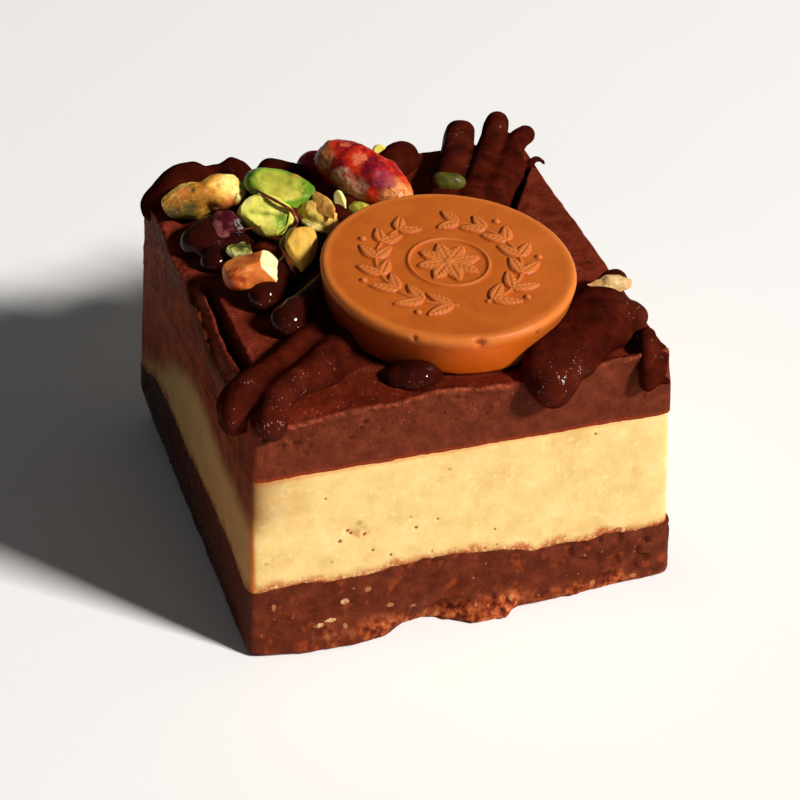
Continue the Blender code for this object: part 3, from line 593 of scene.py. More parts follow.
def cream_relief(places, u, v, low):
    """A smooth cut with faint ripples, pin holes and a chipped patch on the front."""
    front, left = sides(u, v)
    x, y, z = places.T
    push = 0.05 * fractal(places, 2.5, 51) + 0.04 * noise(places, 12.0, 52)
    gap, own = grains(places, 2.2, 55)
    push -= 0.2 * smooth_step(0.14, 0.06, gap) * (own > 0.82)
    for px, pz, radius in DOTS:
        push -= front * 0.28 * spot((x - px) / radius, (z - pz) / radius)
    chip = spot((x + 16.4) / 2.2, (z - 18.2) / 1.4) * front
    push -= 0.35 * chip * smooth_step(0.0, 0.3, noise(places, 1.0, 57))
    smear = left * smooth_step(-2.6, 2.6, z - along(SMEAR_EDGE, y) + 1.5 * fractal(places, 7.0, 61))
    corner = spot((x + 30.6) / 0.35) * smooth_step(-29.4, -30.4, y)
    foot = smooth_step(1.7, 0.1, z - low + 0.7 * noise(places, 1.4, 63))
    head = smooth_step(0.7, 0.1, CREAM_TOP - z) * front
    return push, dict(smear=smear, corner=corner, foot=foot, head=head, chip=chip, front=front,
                      left=turned_left(front, left))


def slab_edge(x, y):
    """The height of the chocolate's ragged top edge, on the front and on the left."""
    flat = on_floor(x, y)
    broken = 0.16 + 0.3 * smooth_step(17, 20, x) * smooth_step(28, 25, x)
    front = along(TOP_EDGE_FRONT, x) + broken * fractal(flat, 1.1, 72)
    left = along(TOP_EDGE_LEFT, y) + 0.3 * noise(flat, 1.6, 73) + 0.2 * noise(flat, 0.7, 74)
    return front, left


def line_gap(x, y, start, end):
    """How far a place is from a straight line between two others."""
    along_x, along_y = end[0] - start[0], end[1] - start[1]
    t = ((x - start[0]) * along_x + (y - start[1]) * along_y) / (along_x ** 2 + along_y ** 2)
    t = np.clip(t, 0, 1)
    return np.hypot(x - start[0] - t * along_x, y - start[1] - t * along_y)


def worn_place(x, y, inner, outer):
    """Where the left edge of the top is worn down, from none at one x to all at another."""
    return smooth_step(inner, outer, x) * smooth_step(-25, -20, y) * smooth_step(6, 1, y)


def slab_top(x, y):
    """The height of the chocolate's top: nearly level, with ragged edges and a scored line."""
    flat = on_floor(x, y)
    height = SLICE_HEIGHT + TOP_RISE_BACK * y / HALF_DEPTH + 0.14 * noise(flat, 7.0, 71)
    height += 0.06 * fractal(flat, 1.2, 75) + TOP_LIP_BACK * smooth_step(20, 30, y)
    edge_front, edge_left = slab_edge(x, y)
    height += smooth_step(-HALF_WIDTH + 3.2, -HALF_WIDTH + 1.6, x) * (edge_left - height)
    height += smooth_step(-HALF_DEPTH + 2.2, -HALF_DEPTH + 0.2, y) * (edge_front - height)
    height += 0.1 * fractal(flat, 1.1, 76) * smooth_step(-26.0, -28.2, x)
    height -= WORN_EDGE * worn_place(x, y, -28.8, -30.1) * (0.9 + 0.15 * noise(flat, 2.4, 78))
    for start, end, half_width, depth in SCORES:
        gap = line_gap(x, y, start, end) + 0.12 * noise(flat, 1.8, 91)
        lip = spot((gap - half_width - 0.45) / 0.35)
        height += lip * (0.1 + 0.45 * np.clip(noise(flat, 1.3, 77), 0, 1)) * (x < 0)
        height -= depth * smooth_step(half_width + 0.2, half_width - 0.25, gap)
    low = coin_matrix() @ Vector((0, 0, -COIN_THICKNESS - 0.1))
    tilt = coin_matrix().to_3x3() @ Vector((0, 0, 1))
    bottom = low.z - ((x - low.x) * tilt.x + (y - low.y) * tilt.y) / tilt.z
    covered = np.hypot(x - COIN_CENTRE.x, y - COIN_CENTRE.y) < COIN_RADIUS - COIN_TAPER
    return np.where(covered, np.minimum(height, bottom), height)


def slab_relief(places, u, v):
    """The cut sides of the chocolate: pitted on the left of the front, dragged down on the left side."""
    x, y, z = places.T
    front, left = sides(u, v)
    edge_front, edge_left = slab_edge(x, y)
    below = np.where(front > left, edge_front, edge_left) - z
    push = 0.05 * fractal(places, 1.6, 81) + 0.3 * right_side(u) * smooth_step(37, 34, z)
    upper = smooth_step(7.0, 2.5, below) * smooth_step(14, 9, x) * (1 - turned_left(front, left))
    gap, own = grains(places, 0.95, 85)
    pits = smooth_step(0.42, 0.2, gap) * (own > 0.74)
    push -= 0.3 * pits * front * (0.25 + 0.75 * upper)
    push += 0.2 * front * upper * fractal(places, 0.9, 86)
    ledge = front * spot((x - 3.5) / 7.5) * smooth_step(2.0, 0.6, below)
    push += ledge * (0.35 + 0.4 * fractal(places, 1.4, 83))
    crack = front * spot((x - 11.4 - 0.2 * noise(places, 1.5, 87)) / 0.2)
    push -= 0.7 * crack * smooth_step(34.0, 34.8, z)
    push += 0.12 * left * noise(places * (1, 0.25, 1), 0.9, 93) * smooth_step(2.0, 3.5, below)
    # Along the top edge, for its paler broken crest and its painted highlight.
    rim = smooth_step(0.75, 0.15, below + 0.3 * noise(places, 0.8, 95))
    # Where a painted sheen lies on the left side, just below the top edge.
    band = left * smooth_step(3.6, 2.6, below + 0.5 * noise(places, 3.0, 96))
    bottom = front * smooth_step(0.65, 0.15, z - cream_top(u, v))
    return push, dict(bottom=bottom, rim=rim, band=band, pits=pits * front * (0.3 + 0.7 * upper),
                      upper=upper, left=turned_left(front, left))


def square_grid(count):
    """The points of a square grid from -1 to 1, denser along its sides, drawn in at its corners."""
    line = np.linspace(-1, 1, count + 1)
    line += 0.09 * (line - line ** 9)
    a, b = np.meshgrid(line, line, indexing="ij")
    reach = np.maximum(np.maximum(np.abs(a), np.abs(b)), 1e-6)
    rounding = corner_rounding(a / reach, b / reach)
    factor = 1 + (rounding - 1) * reach ** 20
    return a * factor, b * factor, a / reach * rounding, b / reach * rounding, reach


def slab_lid(u, v, rim_u, rim_v, gap):
    """The points of the slab's top, which rounds off towards the edge at this distance, and its masks."""
    top = place_in_slice(u, v, SLICE_HEIGHT)
    rounding = 0.45 + 0.2 * noise(top, 2.0, 97)
    drop = rounding - np.sqrt(np.clip(rounding ** 2 - np.clip(rounding - gap, 0, None) ** 2, 0, None))
    top[:, 2] = slab_top(top[:, 0], top[:, 1]) - drop
    rim = place_in_slice(rim_u, rim_v, top[:, 2])
    rim[:, 2] = slab_top(rim[:, 0], rim[:, 1])
    push, masks = slab_relief(rim, rim_u, rim_v)
    top += (push * smooth_step(2.0, 0.0, gap))[:, None] * outwards(rim_u, rim_v)
    x, y = top[:, 0], top[:, 1]
    flat = smooth_step(0.0, 0.5, gap)
    worn = worn_place(x, y, -28.9, -29.6)
    for mask in masks:
        masks[mask] = masks[mask] * np.maximum(1 - flat, worn if mask in ("left", "rim") else 0)
    # The scored grooves, which the material paints with shade.
    sunk = [smooth_step(half_width + 0.1, half_width - 0.3, line_gap(x, y, start, end))
            for start, end, half_width, _ in SCORES]
    return top, dict(masks, top=flat * (1 - worn), gap=np.max(sunk, axis=0))


def slab_walls(u, v, high, out, rows):
    """The points of the slab's cut sides, ring by ring, and their masks."""
    low = cream_top(u, v) - LAYER_OVERLAP
    z = low + (high - low) * np.linspace(0, 1, rows + 1)[:-1, None]
    places = place_in_slice(u, v, z).reshape(-1, 3)
    push, masks = slab_relief(places, np.tile(u, rows), np.tile(v, rows))
    return places + push[:, None] * np.tile(out, (rows, 1)), masks


def build_slab():
    """The slab of chocolate: cut sides that meet its top in a small, uneven rounding."""
    count = int(2 * HALF_WIDTH / STEP)
    u, v, rim_u, rim_v, reach = [values.ravel() for values in square_grid(count)]
    grid = np.arange((count + 1) ** 2).reshape(count + 1, count + 1)
    ring = np.concatenate([grid[-1, :-1], grid[:0:-1, -1], grid[0, :0:-1], grid[:-1, 0]])
    top, top_masks = slab_lid(u, v, rim_u, rim_v, (1 - reach) * HALF_WIDTH)
    rows = int(10 / STEP)
    out = outwards(rim_u[ring], rim_v[ring])
    walls, wall_masks = slab_walls(u[ring], v[ring], top[ring, 2], out, rows)
    inner = drawn_in(walls[:len(ring)])
    verts = np.concatenate([top, inner, walls, [inner.mean(axis=0)]])
    hoops = np.concatenate([len(top) + np.arange(len(ring) * (rows + 1)).reshape(rows + 1, -1), [ring]])
    faces = grid_faces(grid) + grid_faces(hoops, closed=True, flipped=True) + fan(hoops[0], len(verts) - 1)
    slab = mesh_object("chocolate_slab", verts, faces)
    for mask, on_top in top_masks.items():
        on_walls = wall_masks.get(mask, np.zeros(len(walls)))
        store(slab, **{mask: np.concatenate([on_top, on_walls[:len(ring)], on_walls, [0]])})
    return slab


def smooth_route(points, steps=6):
    """Adds points between the given ones, on a curve through all of them."""
    points = [np.array(point) for point in points]
    ends = [points[0] * 2 - points[1]] + points + [points[-1] * 2 - points[-2]]
    route = []
    for before, start, end, after in zip(ends, ends[1:], ends[2:], ends[3:]):
        for step in range(steps):
            t = step / steps
            turn = (end - before) * t + (before * 2 - start * 5 + end * 4 - after) * t ** 2
            route.append(start + (turn + (start * 3 - before - end * 3 + after) * t ** 3) / 2)
    return np.array(route + [points[-1]])


def shorten(points, width):
    """Draws both ends in by most of the stroke's radius, because its round ends reach past them."""
    points = [np.array(point, dtype=float) for point in points]
    for end, near in ((0, 1), (-1, -2)):
        line = points[near] - points[end]
        length = np.linalg.norm(line)
        points[end] = points[end] + line / length * min(width * 0.35, length * 0.6)
    return points


def stamp(field, axes, start, end, r0, r1, reach):
    """Lowers the distances in a field to those from one straight, tapered piece of a stroke."""
    span = []
    for axis, a, b in zip(axes, start, end):
        low, high = np.searchsorted(axis, (min(a, b) - reach, max(a, b) + reach))
        span.append(slice(low, high))
    x, y, z = np.ix_(*[axis[part] for axis, part in zip(axes, span)])
    line = end - start
    t = ((x - start[0]) * line[0] + (y - start[1]) * line[1] + (z - start[2]) * line[2]) / (line @ line)
    t = np.clip(t, 0, 1)
    squares = [(axis - start[d] - t * line[d]) ** 2 for d, axis in enumerate((x, y, z))]
    gap = np.sqrt(squares[0] + squares[1] + squares[2])
    part = field[tuple(span)]
    np.minimum(part, gap - r0 - (r1 - r0) * t, out=part)


def stroke_field(shape, axes, first, last, points, seed):
    """The distances from one stroke, which swells a little at its ends and unevenly along its way."""
    route = smooth_route(shorten(points, min(first, last)), 4)
    run = np.concatenate([[0], np.cumsum(np.linalg.norm(np.diff(route, axis=0), axis=1))])
    from_end = np.minimum(run, run[-1] - run)
    radius = (first + (last - first) * run / run[-1]) / 2
    radius = radius * (0.97 + 0.07 * spot((from_end - 1.6) / 1.6))
    radius += 0.1 * noise(np.stack([run, run * 0, run * 0], axis=1), 3.0, seed + 50)
    field = np.full(shape, FAR, dtype=np.float32)
    for start, end, r0, r1 in zip(route, route[1:], radius, radius[1:]):
        stamp(field, axes, start, end, r0, r1, max(r0, r1) + 2.5)
    return field


def grid_places(axes, where):
    """The places of the chosen points of a grid."""
    return np.stack([axis[index] for axis, index in zip(axes, np.nonzero(where))], axis=1).astype(float)


def hollow_out(piped, axes, where):
    """Empties the strokes where they lie deeper in the slab than they have to."""
    x, y, z = grid_places(axes, where).T
    width, depth = half_sizes(x / HALF_WIDTH, y / HALF_DEPTH, z)
    beside = np.minimum(width - np.abs(x), depth - np.abs(y))
    deep = np.minimum(slab_top(x, y) - z, beside)
    piped[where] = np.maximum(piped[where], deep - STROKES_SUNK)


def stroke_fields(shape, axes):
    """The distances from all strokes, and which of them are wet and which dark."""
    piped = np.full(shape, FAR, dtype=np.float32)
    wet = np.zeros(shape, dtype=np.float32)
    dark = np.zeros(shape, dtype=np.float32)
    seed = 101
    for group, (blend, strokes) in STROKES.items():
        bundle = np.full(shape, FAR, dtype=np.float32)
        for first, last, points in strokes:
            bundle = smooth_union(bundle, stroke_field(shape, axes, first, last, points, seed), blend)
            seed += 1
        own = (bundle < piped) & (bundle < 2)
        wet[own] = group in WET_STROKES
        dark[own] = group in DARK_STROKES
        piped = smooth_union(piped, bundle, GROUP_BLEND)
    return piped, wet, dark


def build_strokes():
    """All piped strokes as one surface, taken from a grid of distances. They end just inside the slab."""
    low, high = np.array(STROKES_BOX)
    shape = np.ceil((high - low) / VOXEL).astype(int)
    axes = [(low[axis] + VOXEL * np.arange(shape[axis])).astype(np.float32) for axis in range(3)]
    piped, wet, dark = stroke_fields(shape, axes)
    near = np.abs(piped) < 0.9
    places = grid_places(axes, near)
    lengthwise = places @ np.array([[0.25 * 0.707, 0.707, 0], [0.25 * 0.707, -0.707, 0], [0, 0, 1]])
    rough = 0.09 * noise(places, 3.4, 141) + 0.05 * noise(lengthwise, 1.5, 142)
    piped[near] += rough + 0.02 * noise(places, 0.55, 143)
    hollow_out(piped, axes, near)
    hollow_out(piped, axes, piped < -0.85)
    x, y, z = np.ix_(*axes)
    under = (np.hypot(x - COIN_CENTRE.x, y - COIN_CENTRE.y) < COIN_RADIUS + 1) & (z > 37) & (piped < 1)
    piped[under] = np.maximum(piped[under], -coin_distance(grid_places(axes, under)) - COIN_CLEARANCE)
    grid = openvdb.FloatGrid(FAR)
    grid.copyFromArray(piped)
    points, _, quads = grid.convertToPolygons(isovalue=0.0, adaptivity=0.0)
    verts = np.asarray(points) * VOXEL + low
    strokes = mesh_object("piped_chocolate", verts, np.asarray(quads)[:, ::-1].tolist())
    cell = tuple(np.clip(((verts - low) / VOXEL).round().astype(int), 0, shape - 1).T)
    dry = smooth_step(-14, -6, verts[:, 0]) * smooth_step(2, 10, verts[:, 1])
    glitter = np.max([ball(verts, place, radius) for place, radius in SPARKLE_PLACES], axis=0)
    store(strokes, wet=wet[cell] * (1 - dry), dark=dark[cell], glitter=glitter)
    return strokes


def coin_matrix():
    turn = Euler((math.radians(COIN_PITCH), math.radians(COIN_ROLL), 0)).to_matrix().to_4x4()
    return Matrix.Translation(COIN_CENTRE) @ turn


def coin_distance(places):
    """How far each place is outside the coin, roughly."""
    back = np.array(coin_matrix().inverted())
    x, y, z = (places @ back[:3, :3].T + back[:3, 3]).T
    radius = COIN_RADIUS + COIN_TAPER * z / COIN_THICKNESS
    return np.maximum(np.maximum(np.hypot(x, y) - radius, z), -COIN_THICKNESS - z)


def disc_grid(count):
    """Points that fill a disc of radius 1 evenly, laid out as a square grid."""
    line = np.linspace(-1, 1, count)
    a, b = np.meshgrid(line, line, indexing="ij")
    wide = np.abs(a) > np.abs(b)
    long = np.where(wide, a, b)
    short = np.where(wide, b, a)
    turn = math.pi / 4 * np.divide(short, long, out=np.zeros_like(long), where=long != 0)
    along_long, along_short = long * np.cos(turn), long * np.sin(turn)
    return np.where(wide, along_long, along_short), np.where(wide, along_short, along_long)


def dome(x, y, radius):
    return np.sqrt(np.clip(1 - (np.hypot(x, y) / radius) ** 2, 0, 1))


def leaf_height(x, y, foot, heading, length, width):
    """A pointed leaf that stands up from the coin, with a groove along its middle and side veins."""
    dx, dy = x - foot[0], y - foot[1]
    run = (dx * math.cos(heading) + dy * math.sin(heading)) / length
    off = -dx * math.sin(heading) + dy * math.cos(heading)
    half = width / 2 * np.sin(math.pi * np.clip(run, 1e-3, 0.999) ** 0.75) ** 0.8
    crown = np.sqrt(np.clip(1 - (off / half) ** 2, 0, 1)) * ((run > 0) & (run < 1))
    veins = 0.12 * np.cos((run * length - np.abs(off) * 0.9) * 9.0) * (np.abs(off) > 0.1)
    return RELIEF_HEIGHT * crown ** 0.7 * (1 - 0.4 * spot(off / 0.13) + veins)


def polar(radius, angle):
    return radius * math.cos(angle), radius * math.sin(angle)


def coin_relief(x, y):
    """A rosette with two curved leafy sprigs round it."""
    x, y = x / DESIGN_SCALE, y / DESIGN_SCALE
    reach = np.hypot(x, y)
    angle = np.arctan2(y, x)
    raised = [0.55 * dome(x, y, 1.0), 0.34 * spot((reach - RING_RADIUS) / 0.26)]
    for petal in range(PETALS):
        heading = 2 * math.pi * petal / PETALS
        raised.append(leaf_height(x, y, polar(PETAL_FOOT, heading), heading, PETAL_LENGTH, PETAL_WIDTH))
    for side in (-1, 1):
        sweep = (angle + math.pi / 2) * side % (2 * math.pi)
        raised.append(0.3 * spot((reach - SPRIG_RADIUS) / 0.24) * (sweep > 0.2) * (sweep < 2.75))
        for leaf in range(LEAVES):
            turn = -math.pi / 2 + side * (0.28 + 2.4 * leaf / (LEAVES - 1))
            foot = polar(SPRIG_RADIUS, turn)
            for lean in (-LEAF_LEAN, LEAF_LEAN):
                heading = turn + side * math.pi / 2 + lean * (1 + 0.1 * math.sin(leaf * 2.3))
                length = LEAF_LENGTH - 0.9 * leaf / LEAVES
                raised.append(leaf_height(x, y, foot, heading, length, LEAF_WIDTH))
            if leaf % 2:
                stalk = polar(2.5, turn - side * 0.12)
                raised.append(0.4 * dome(x - foot[0] - stalk[0], y - foot[1] - stalk[1], BERRY_RADIUS))
    return np.max(raised, axis=0)


def coin_crease(x, y):
    """Where the coin's top runs along the foot of something raised: the mask for its painted shade."""
    steps = [polar(CREASE, angle) for angle in np.radians(np.arange(0, 360, 60))]
    around = np.max([coin_relief(x + dx, y + dy) for dx, dy in steps], axis=0)
    return np.clip((around - coin_relief(x, y)) / RELIEF_HEIGHT, 0, 1)


def coin_profile():
    """Radius and height down the coin's side: its rounded rim, its straight part and its rounded foot."""
    foot = COIN_RADIUS - COIN_TAPER
    profile = []
    for angle in np.radians(np.arange(80, -1, -10)):
        radius = COIN_RADIUS - COIN_EDGE * (1 - math.cos(angle))
        profile.append((radius, -COIN_EDGE * (1 - math.sin(angle))))
    for share in np.linspace(0, 1, 22)[1:-1]:
        depth = -COIN_EDGE + share * (2 * COIN_EDGE - COIN_THICKNESS)
        profile.append((COIN_RADIUS - COIN_TAPER * share, depth))
    for angle in np.radians(np.arange(0, -91, -15)):
        depth = -COIN_THICKNESS + COIN_EDGE * (1 + math.sin(angle))
        profile.append((foot - COIN_EDGE * (1 - math.cos(angle)), depth))
    return profile


def coin_top(u, v):
    """The height of the coin's top: the design, faint waves and a few small pits."""
    x, y = u * (COIN_RADIUS - COIN_EDGE), v * (COIN_RADIUS - COIN_EDGE)
    flat = on_floor(x, y)
    height = coin_relief(x, y) + 0.05 * noise(flat, 5.0, 201) + 0.012 * noise(flat, 0.7, 202)
    gap, own = grains(flat, 1.6, 204)
    height -= 0.1 * smooth_step(0.12, 0.05, gap) * (own > 0.86)
    return x, y, height * smooth_step(1.0, 0.95, np.hypot(u, v))


def coin_side(ray):
    """The points of the coin's side, ring by ring: faint lumps, small pits and a chipped foot."""
    rings = np.array([[(radius * c, radius * d, z) for c, d in ray] for radius, z in coin_profile()])
    places = rings.reshape(-1, 3)
    push = 0.05 * fractal(places, 4.0, 206) + 0.03 * noise(places * (1, 1, 3), 1.0, 208)
    gap, own = grains(places, 1.7, 211)
    push -= 0.25 * smooth_step(0.26, 0.1, gap) * (own > 0.95)
    low_down = smooth_step(-COIN_THICKNESS + 1.0, -COIN_THICKNESS + 0.2, places[:, 2])
    push -= 0.22 * smooth_step(0.1, 0.6, noise(places, 2.6, 212)) * low_down
    return places + push[:, None] * np.tile(on_floor(*ray.T), (len(rings), 1))


def build_coin():
    """The coin: a moulded relief on top, a rounded rim, and a side that draws in towards the bottom."""
    count = 216
    u, v = [values.ravel() for values in disc_grid(count)]
    x, y, height = coin_top(u, v)
    grid = np.arange(count * count).reshape(count, count)
    rim = np.concatenate([grid[:-1, 0], grid[-1, :-1], grid[:0:-1, -1], grid[0, :0:-1]])
    side = coin_side(unit(np.stack([u, v], axis=-1)[rim]))
    verts = np.concatenate([np.stack([x, y, height], axis=-1), side, [(0, 0, -COIN_THICKNESS)]])
    pitted = np.zeros(len(verts))
    for place, radius, sunk in PITS:
        near = ball(verts, place, radius)
        outside = np.array(place) * (1, 1, 0) / np.hypot(*place[:2]) + (0, 0, 0.4)
        verts -= sunk * near[:, None] * outside
        pitted = np.maximum(pitted, near)
    hoops = np.concatenate([[rim], len(x) + np.arange(len(side)).reshape(-1, len(rim))])
    faces = grid_faces(grid) + grid_faces(hoops, closed=True) + fan(hoops[-1], len(verts) - 1)
    turned = np.array(coin_matrix())
    coin = mesh_object("coin", verts @ turned[:3, :3].T + turned[:3, 3], faces)
    elsewhere = np.zeros(len(verts) - len(x))
    depth = -side[:, 2]
    rim_top = smooth_step(0.95, 1.0, np.hypot(u, v))
    store(coin, pit=pitted, raised=np.append(height, elsewhere),
          crease=np.append(coin_crease(x, y), elsewhere),
          rim=np.concatenate([rim_top, smooth_step(1.8, 0.9, depth), [0]]),
          side=np.concatenate([np.zeros(len(x)), smooth_step(0.5, 1.6, depth), [1]]))
    return coin


def press_flat(places, normal, distance):
    """Moves whatever lies past a plane nearly onto it, as a cut does, and says how far it moved."""
    normal = np.array(normal) / np.linalg.norm(normal)
    past = np.clip(places @ normal - distance, 0, None)
    return places - CUT_FLATNESS * past[:, None] * normal, past


def nut_body(nut, a, y, z):
    """The smooth body of a kernel: a rounded, pointed form along X, bent a little."""
    reach = (1 - np.abs(a) ** nut["blunt"]) ** (1 / nut["blunt"])
    reach *= 1 - nut["point"] * np.clip(a, 0, 1) ** 1.5
    reach *= 1 - nut["neck"] * spot(a / 0.22)
    body = np.stack([a, y * reach, z * reach], axis=-1) * (np.array(nut["size"]) / 2)
    body[:, 2] += nut["curl"] * (a ** 2 + 0.5 * y ** 2)
    return body


def nut_tone(nut, body, a, y, z):
    """How light each point is, from 0 to 1: by height, by side, along the kernel and in blotches."""
    tone = nut["tone"] + nut["top"] * z + nut["back"] * y
    tone += nut["end"] * smooth_step(0.3, 0.9, a) + nut["start"] * smooth_step(-0.4, -0.9, a)
    return np.clip(tone + nut["blotch"] * fractal(body, 2.2, nut["seed"] + 9), 0, 1)


def build_nut(name, nut):
    """A kernel or a chopped piece of one, longest along X, with a tone for each point."""
    rows, around = ((80, 72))
    a = np.repeat(-np.cos(np.linspace(0, math.pi, rows + 2)[1:-1]), around)
    spin = np.tile(np.linspace(0, 2 * math.pi, around, endpoint=False), rows)
    y, z = np.cos(spin), np.sin(spin)
    z = np.where(z < 0, z * (1 - nut["flat"]), z)
    body = nut_body(nut, a, y, z)
    seed = nut["seed"]
    for normal, distance in nut["pressed"]:
        body = press_flat(body, normal, distance)[0]
    chipped = nut["chips"] * fractal(body, 2.0, seed + 3)
    cut = np.zeros(len(body))
    for normal, distance in nut["cuts"]:
        body, past = press_flat(body, normal, distance + chipped)
        cut = np.maximum(cut, smooth_step(0.0, nut["fade"], past))
    seam = cut * spot((body[:, 1] - nut["seam"] - 0.25 * np.sin(body[:, 0])) / 0.3)
    push = -0.3 * seam + nut["wrinkle"] * fractal(body * (0.6, 1, 1), 1.5, seed, 4) * (1 - 0.7 * cut)
    push += nut["lumps"] * noise(body, 3.2, seed + 5)
    for place, radius, depth in nut["dents"]:
        push -= depth * ball(body, place, radius)
    body += push[:, None] * unit(body)
    rings = body.reshape(rows, around, 3)
    verts, faces = loft(rings, rings[0].mean(axis=0), rings[-1].mean(axis=0))
    thing = mesh_object(name, verts, faces)
    thing.location = Vector(nut["place"]) * MM
    thing.rotation_euler = Euler([math.radians(angle) for angle in nut["turn"]])
    masks = dict(tone=nut_tone(nut, body, a, y, z), cut=cut, seam=seam)
    store(thing, **{mask: np.append(values, [values[0], values[-1]]) for mask, values in masks.items()})
    return thing


def build_strand(name, first, last, points):
    """A thin, uneven ribbon of nut skin that follows a route."""
    route = smooth_route(points, 5)
    ahead = unit(np.gradient(route, axis=0))
    side = unit(np.cross(ahead, (0, 0, 1)))
    top = np.cross(ahead, side)
    share = np.linspace(0, 1, len(route))
    radius = (first + (last - first) * share) / 2 * np.clip(4 * np.sqrt(share * (1 - share)), 0.3, 1)
    radius *= 1 + 0.25 * noise(route, 1.5, 501)
    turns = np.linspace(0, 2 * math.pi, 12, endpoint=False)
    across = np.cos(turns)[None, :, None] * side[:, None]
    upwards = 0.5 * np.sin(turns)[None, :, None] * top[:, None]
    rings = route[:, None] + radius[:, None, None] * (across + upwards)
    return mesh_object(name, *loft(rings, route[0], route[-1]))


def linear(red, green, blue):
    """A colour as the shader wants it, from a colour as a screen shows it, 0 to 255."""
    shares = [value / 255 for value in (red, green, blue)]
    return [share / 12.92 if share < 0.04 else ((share + 0.055) / 1.055) ** 2.4 for share in shares] + [1.0]


class Finish:
    """A material under construction. Its nodes read places in millimetres, and its colours are as a
    screen shows them."""

    def __init__(self, name, roughness, specular):
        self.material = bpy.data.materials.new(name)
        self.material.use_nodes = True
        self.tree = self.material.node_tree
        self.shader = self.tree.nodes["Principled BSDF"]
        self.set(Roughness=roughness, Specular_IOR_Level=specular)
        place = self.tree.nodes.new("ShaderNodeTexCoord").outputs["Object"]
        self.place = self.vector("MULTIPLY", place, (1 / MM, 1 / MM, 1 / MM))
        self.colour = None

    def feed(self, socket, value):
        """Gives a socket a value, another node's output, or a mask by its name."""
        if isinstance(value, str):
            value = self.node("Attribute", output="Fac", attribute_name=value)
        if isinstance(value, bpy.types.NodeSocket):
            self.tree.links.new(value, socket)
        else:
            socket.default_value = value

    def set(self, **values):
        """Sets or links the shader's own sockets."""
        for name, value in values.items():
            self.feed(self.shader.inputs[name.replace("_", " ")], value)

    def node(self, kind, *values, output=0, sockets=None, **settings):
        """A new node, with its sockets fed in their order or by number or name."""
        made = self.tree.nodes.new("ShaderNode" + kind)
        for name, value in settings.items():
            setattr(made, name, value)
        for socket, value in [*enumerate(values), *(sockets or {}).items()]:
            self.feed(made.inputs[socket], value)
        return made.outputs[output]

    def vector(self, operation, *values, output=0):
        return self.node("VectorMath", *values, output=output, operation=operation)

    def math(self, operation, *values):
        return self.node("Math", *values, operation=operation, use_clamp=operation != "MULTIPLY_ADD")

    def both(self, a, b):
        return self.math("MULTIPLY", a, b)

    def step(self, value, low, high):
        """Rises smoothly from 0 to 1 where the value passes from low to high."""
        ends = (low, high, 0, 1) if low < high else (high, low, 1, 0)
        return self.node("MapRange", value, *ends, interpolation_type="SMOOTHSTEP")

    def noise(self, size, detail=3.0, stretch=None, roughness=0.55):
        place = self.vector("MULTIPLY", self.place, stretch) if stretch else self.place
        sockets = {"Vector": place, "Scale": 1 / size, "Detail": detail, "Roughness": roughness}
        return self.node("TexNoise", sockets=sockets)

    def patchy(self, low, high, *noise, **more):
        """Patches of noise, from none of it at low to all at high."""
        return self.step(self.noise(*noise, **more), low, high)

    def specks(self, size, share, radius):
        """A mask of round specks: one in some share of cells of this size."""
        near = self.node("TexVoronoi", sockets={"Vector": self.place, "Scale": 1 / size})
        own = self.node("SeparateColor", near.node.outputs["Color"])
        return self.both(self.math("LESS_THAN", own, share), self.step(near, radius, radius * 0.6))

    def along(self, axis):
        return self.node("SeparateXYZ", self.place, output=axis)

    def mix(self, factor, a, b):
        return self.node("Mix", output=2, data_type="RGBA", sockets={0: factor, 6: a, 7: b})

    def tint(self, colour, mask, strength=1.0):
        """Lays a colour or a pattern over the colour so far, where the mask says and this strongly."""
        if isinstance(colour, tuple):
            colour = linear(*colour)
        self.colour = self.mix(self.both(mask, strength), self.colour, colour)

    def ramp(self, factor, colours, low=0.0, high=1.0):
        """Colours spread evenly over a factor's range."""
        blend = self.node("ValToRGB", factor)
        stops = blend.node.color_ramp.elements
        while len(stops) < len(colours):
            stops.new(0.5)
        for index, colour in enumerate(colours):
            stops[index].position = low + (high - low) * index / (len(colours) - 1)
            stops[index].color = linear(*colour)
        return blend

    def bump(self, height, depth, below=None):
        """Raises the surface by this many millimetres where the height is 1."""
        sockets = {"Distance": depth * MM, "Height": height}
        if below:
            sockets["Normal"] = below
        return self.node("Bump", sockets=sockets)

    def finish(self, normal, **values):
        self.set(Base_Color=self.colour, Normal=normal, **values)
        return self.material

    def see_in(self, weight, reach):
        """Lets light into the surface, by this many millimetres for red, green and blue."""
        self.set(Subsurface_Weight=weight, Subsurface_Scale=MM, Subsurface_Radius=reach)

    def spots(self, rows, ragged):
        """A mask of spots on the front face, from rows of x, z and half sizes, with uneven edges."""
        uneven = self.node("TexNoise", output=1, sockets={"Vector": self.place, "Scale": 2.2})
        moved = self.vector("ADD", self.place, self.vector("MULTIPLY", uneven, (ragged, ragged, ragged)))
        mask = 0.0
        for x, z, *half in rows:
            near = self.vector("SUBTRACT", moved, (x + ragged / 2, 0, z + ragged / 2))
            scaled = self.vector("MULTIPLY", near, (1 / half[0], 0, 1 / half[-1]))
            within = self.step(self.vector("LENGTH", scaled, output=1), 1.15, 0.75)
            mask = self.math("MAXIMUM", mask, within)
        return self.both(mask, "front")

    def ball(self, place, radius):
        """A mask of whatever lies within a ball, with an uneven edge."""
        gap = self.vector("DISTANCE", self.place, place, output=1)
        uneven = self.noise(radius, 6.0, roughness=0.7)
        total = self.math("MULTIPLY_ADD", uneven, radius * 2, gap)
        return self.step(total, radius * 2.35, radius * 1.65)


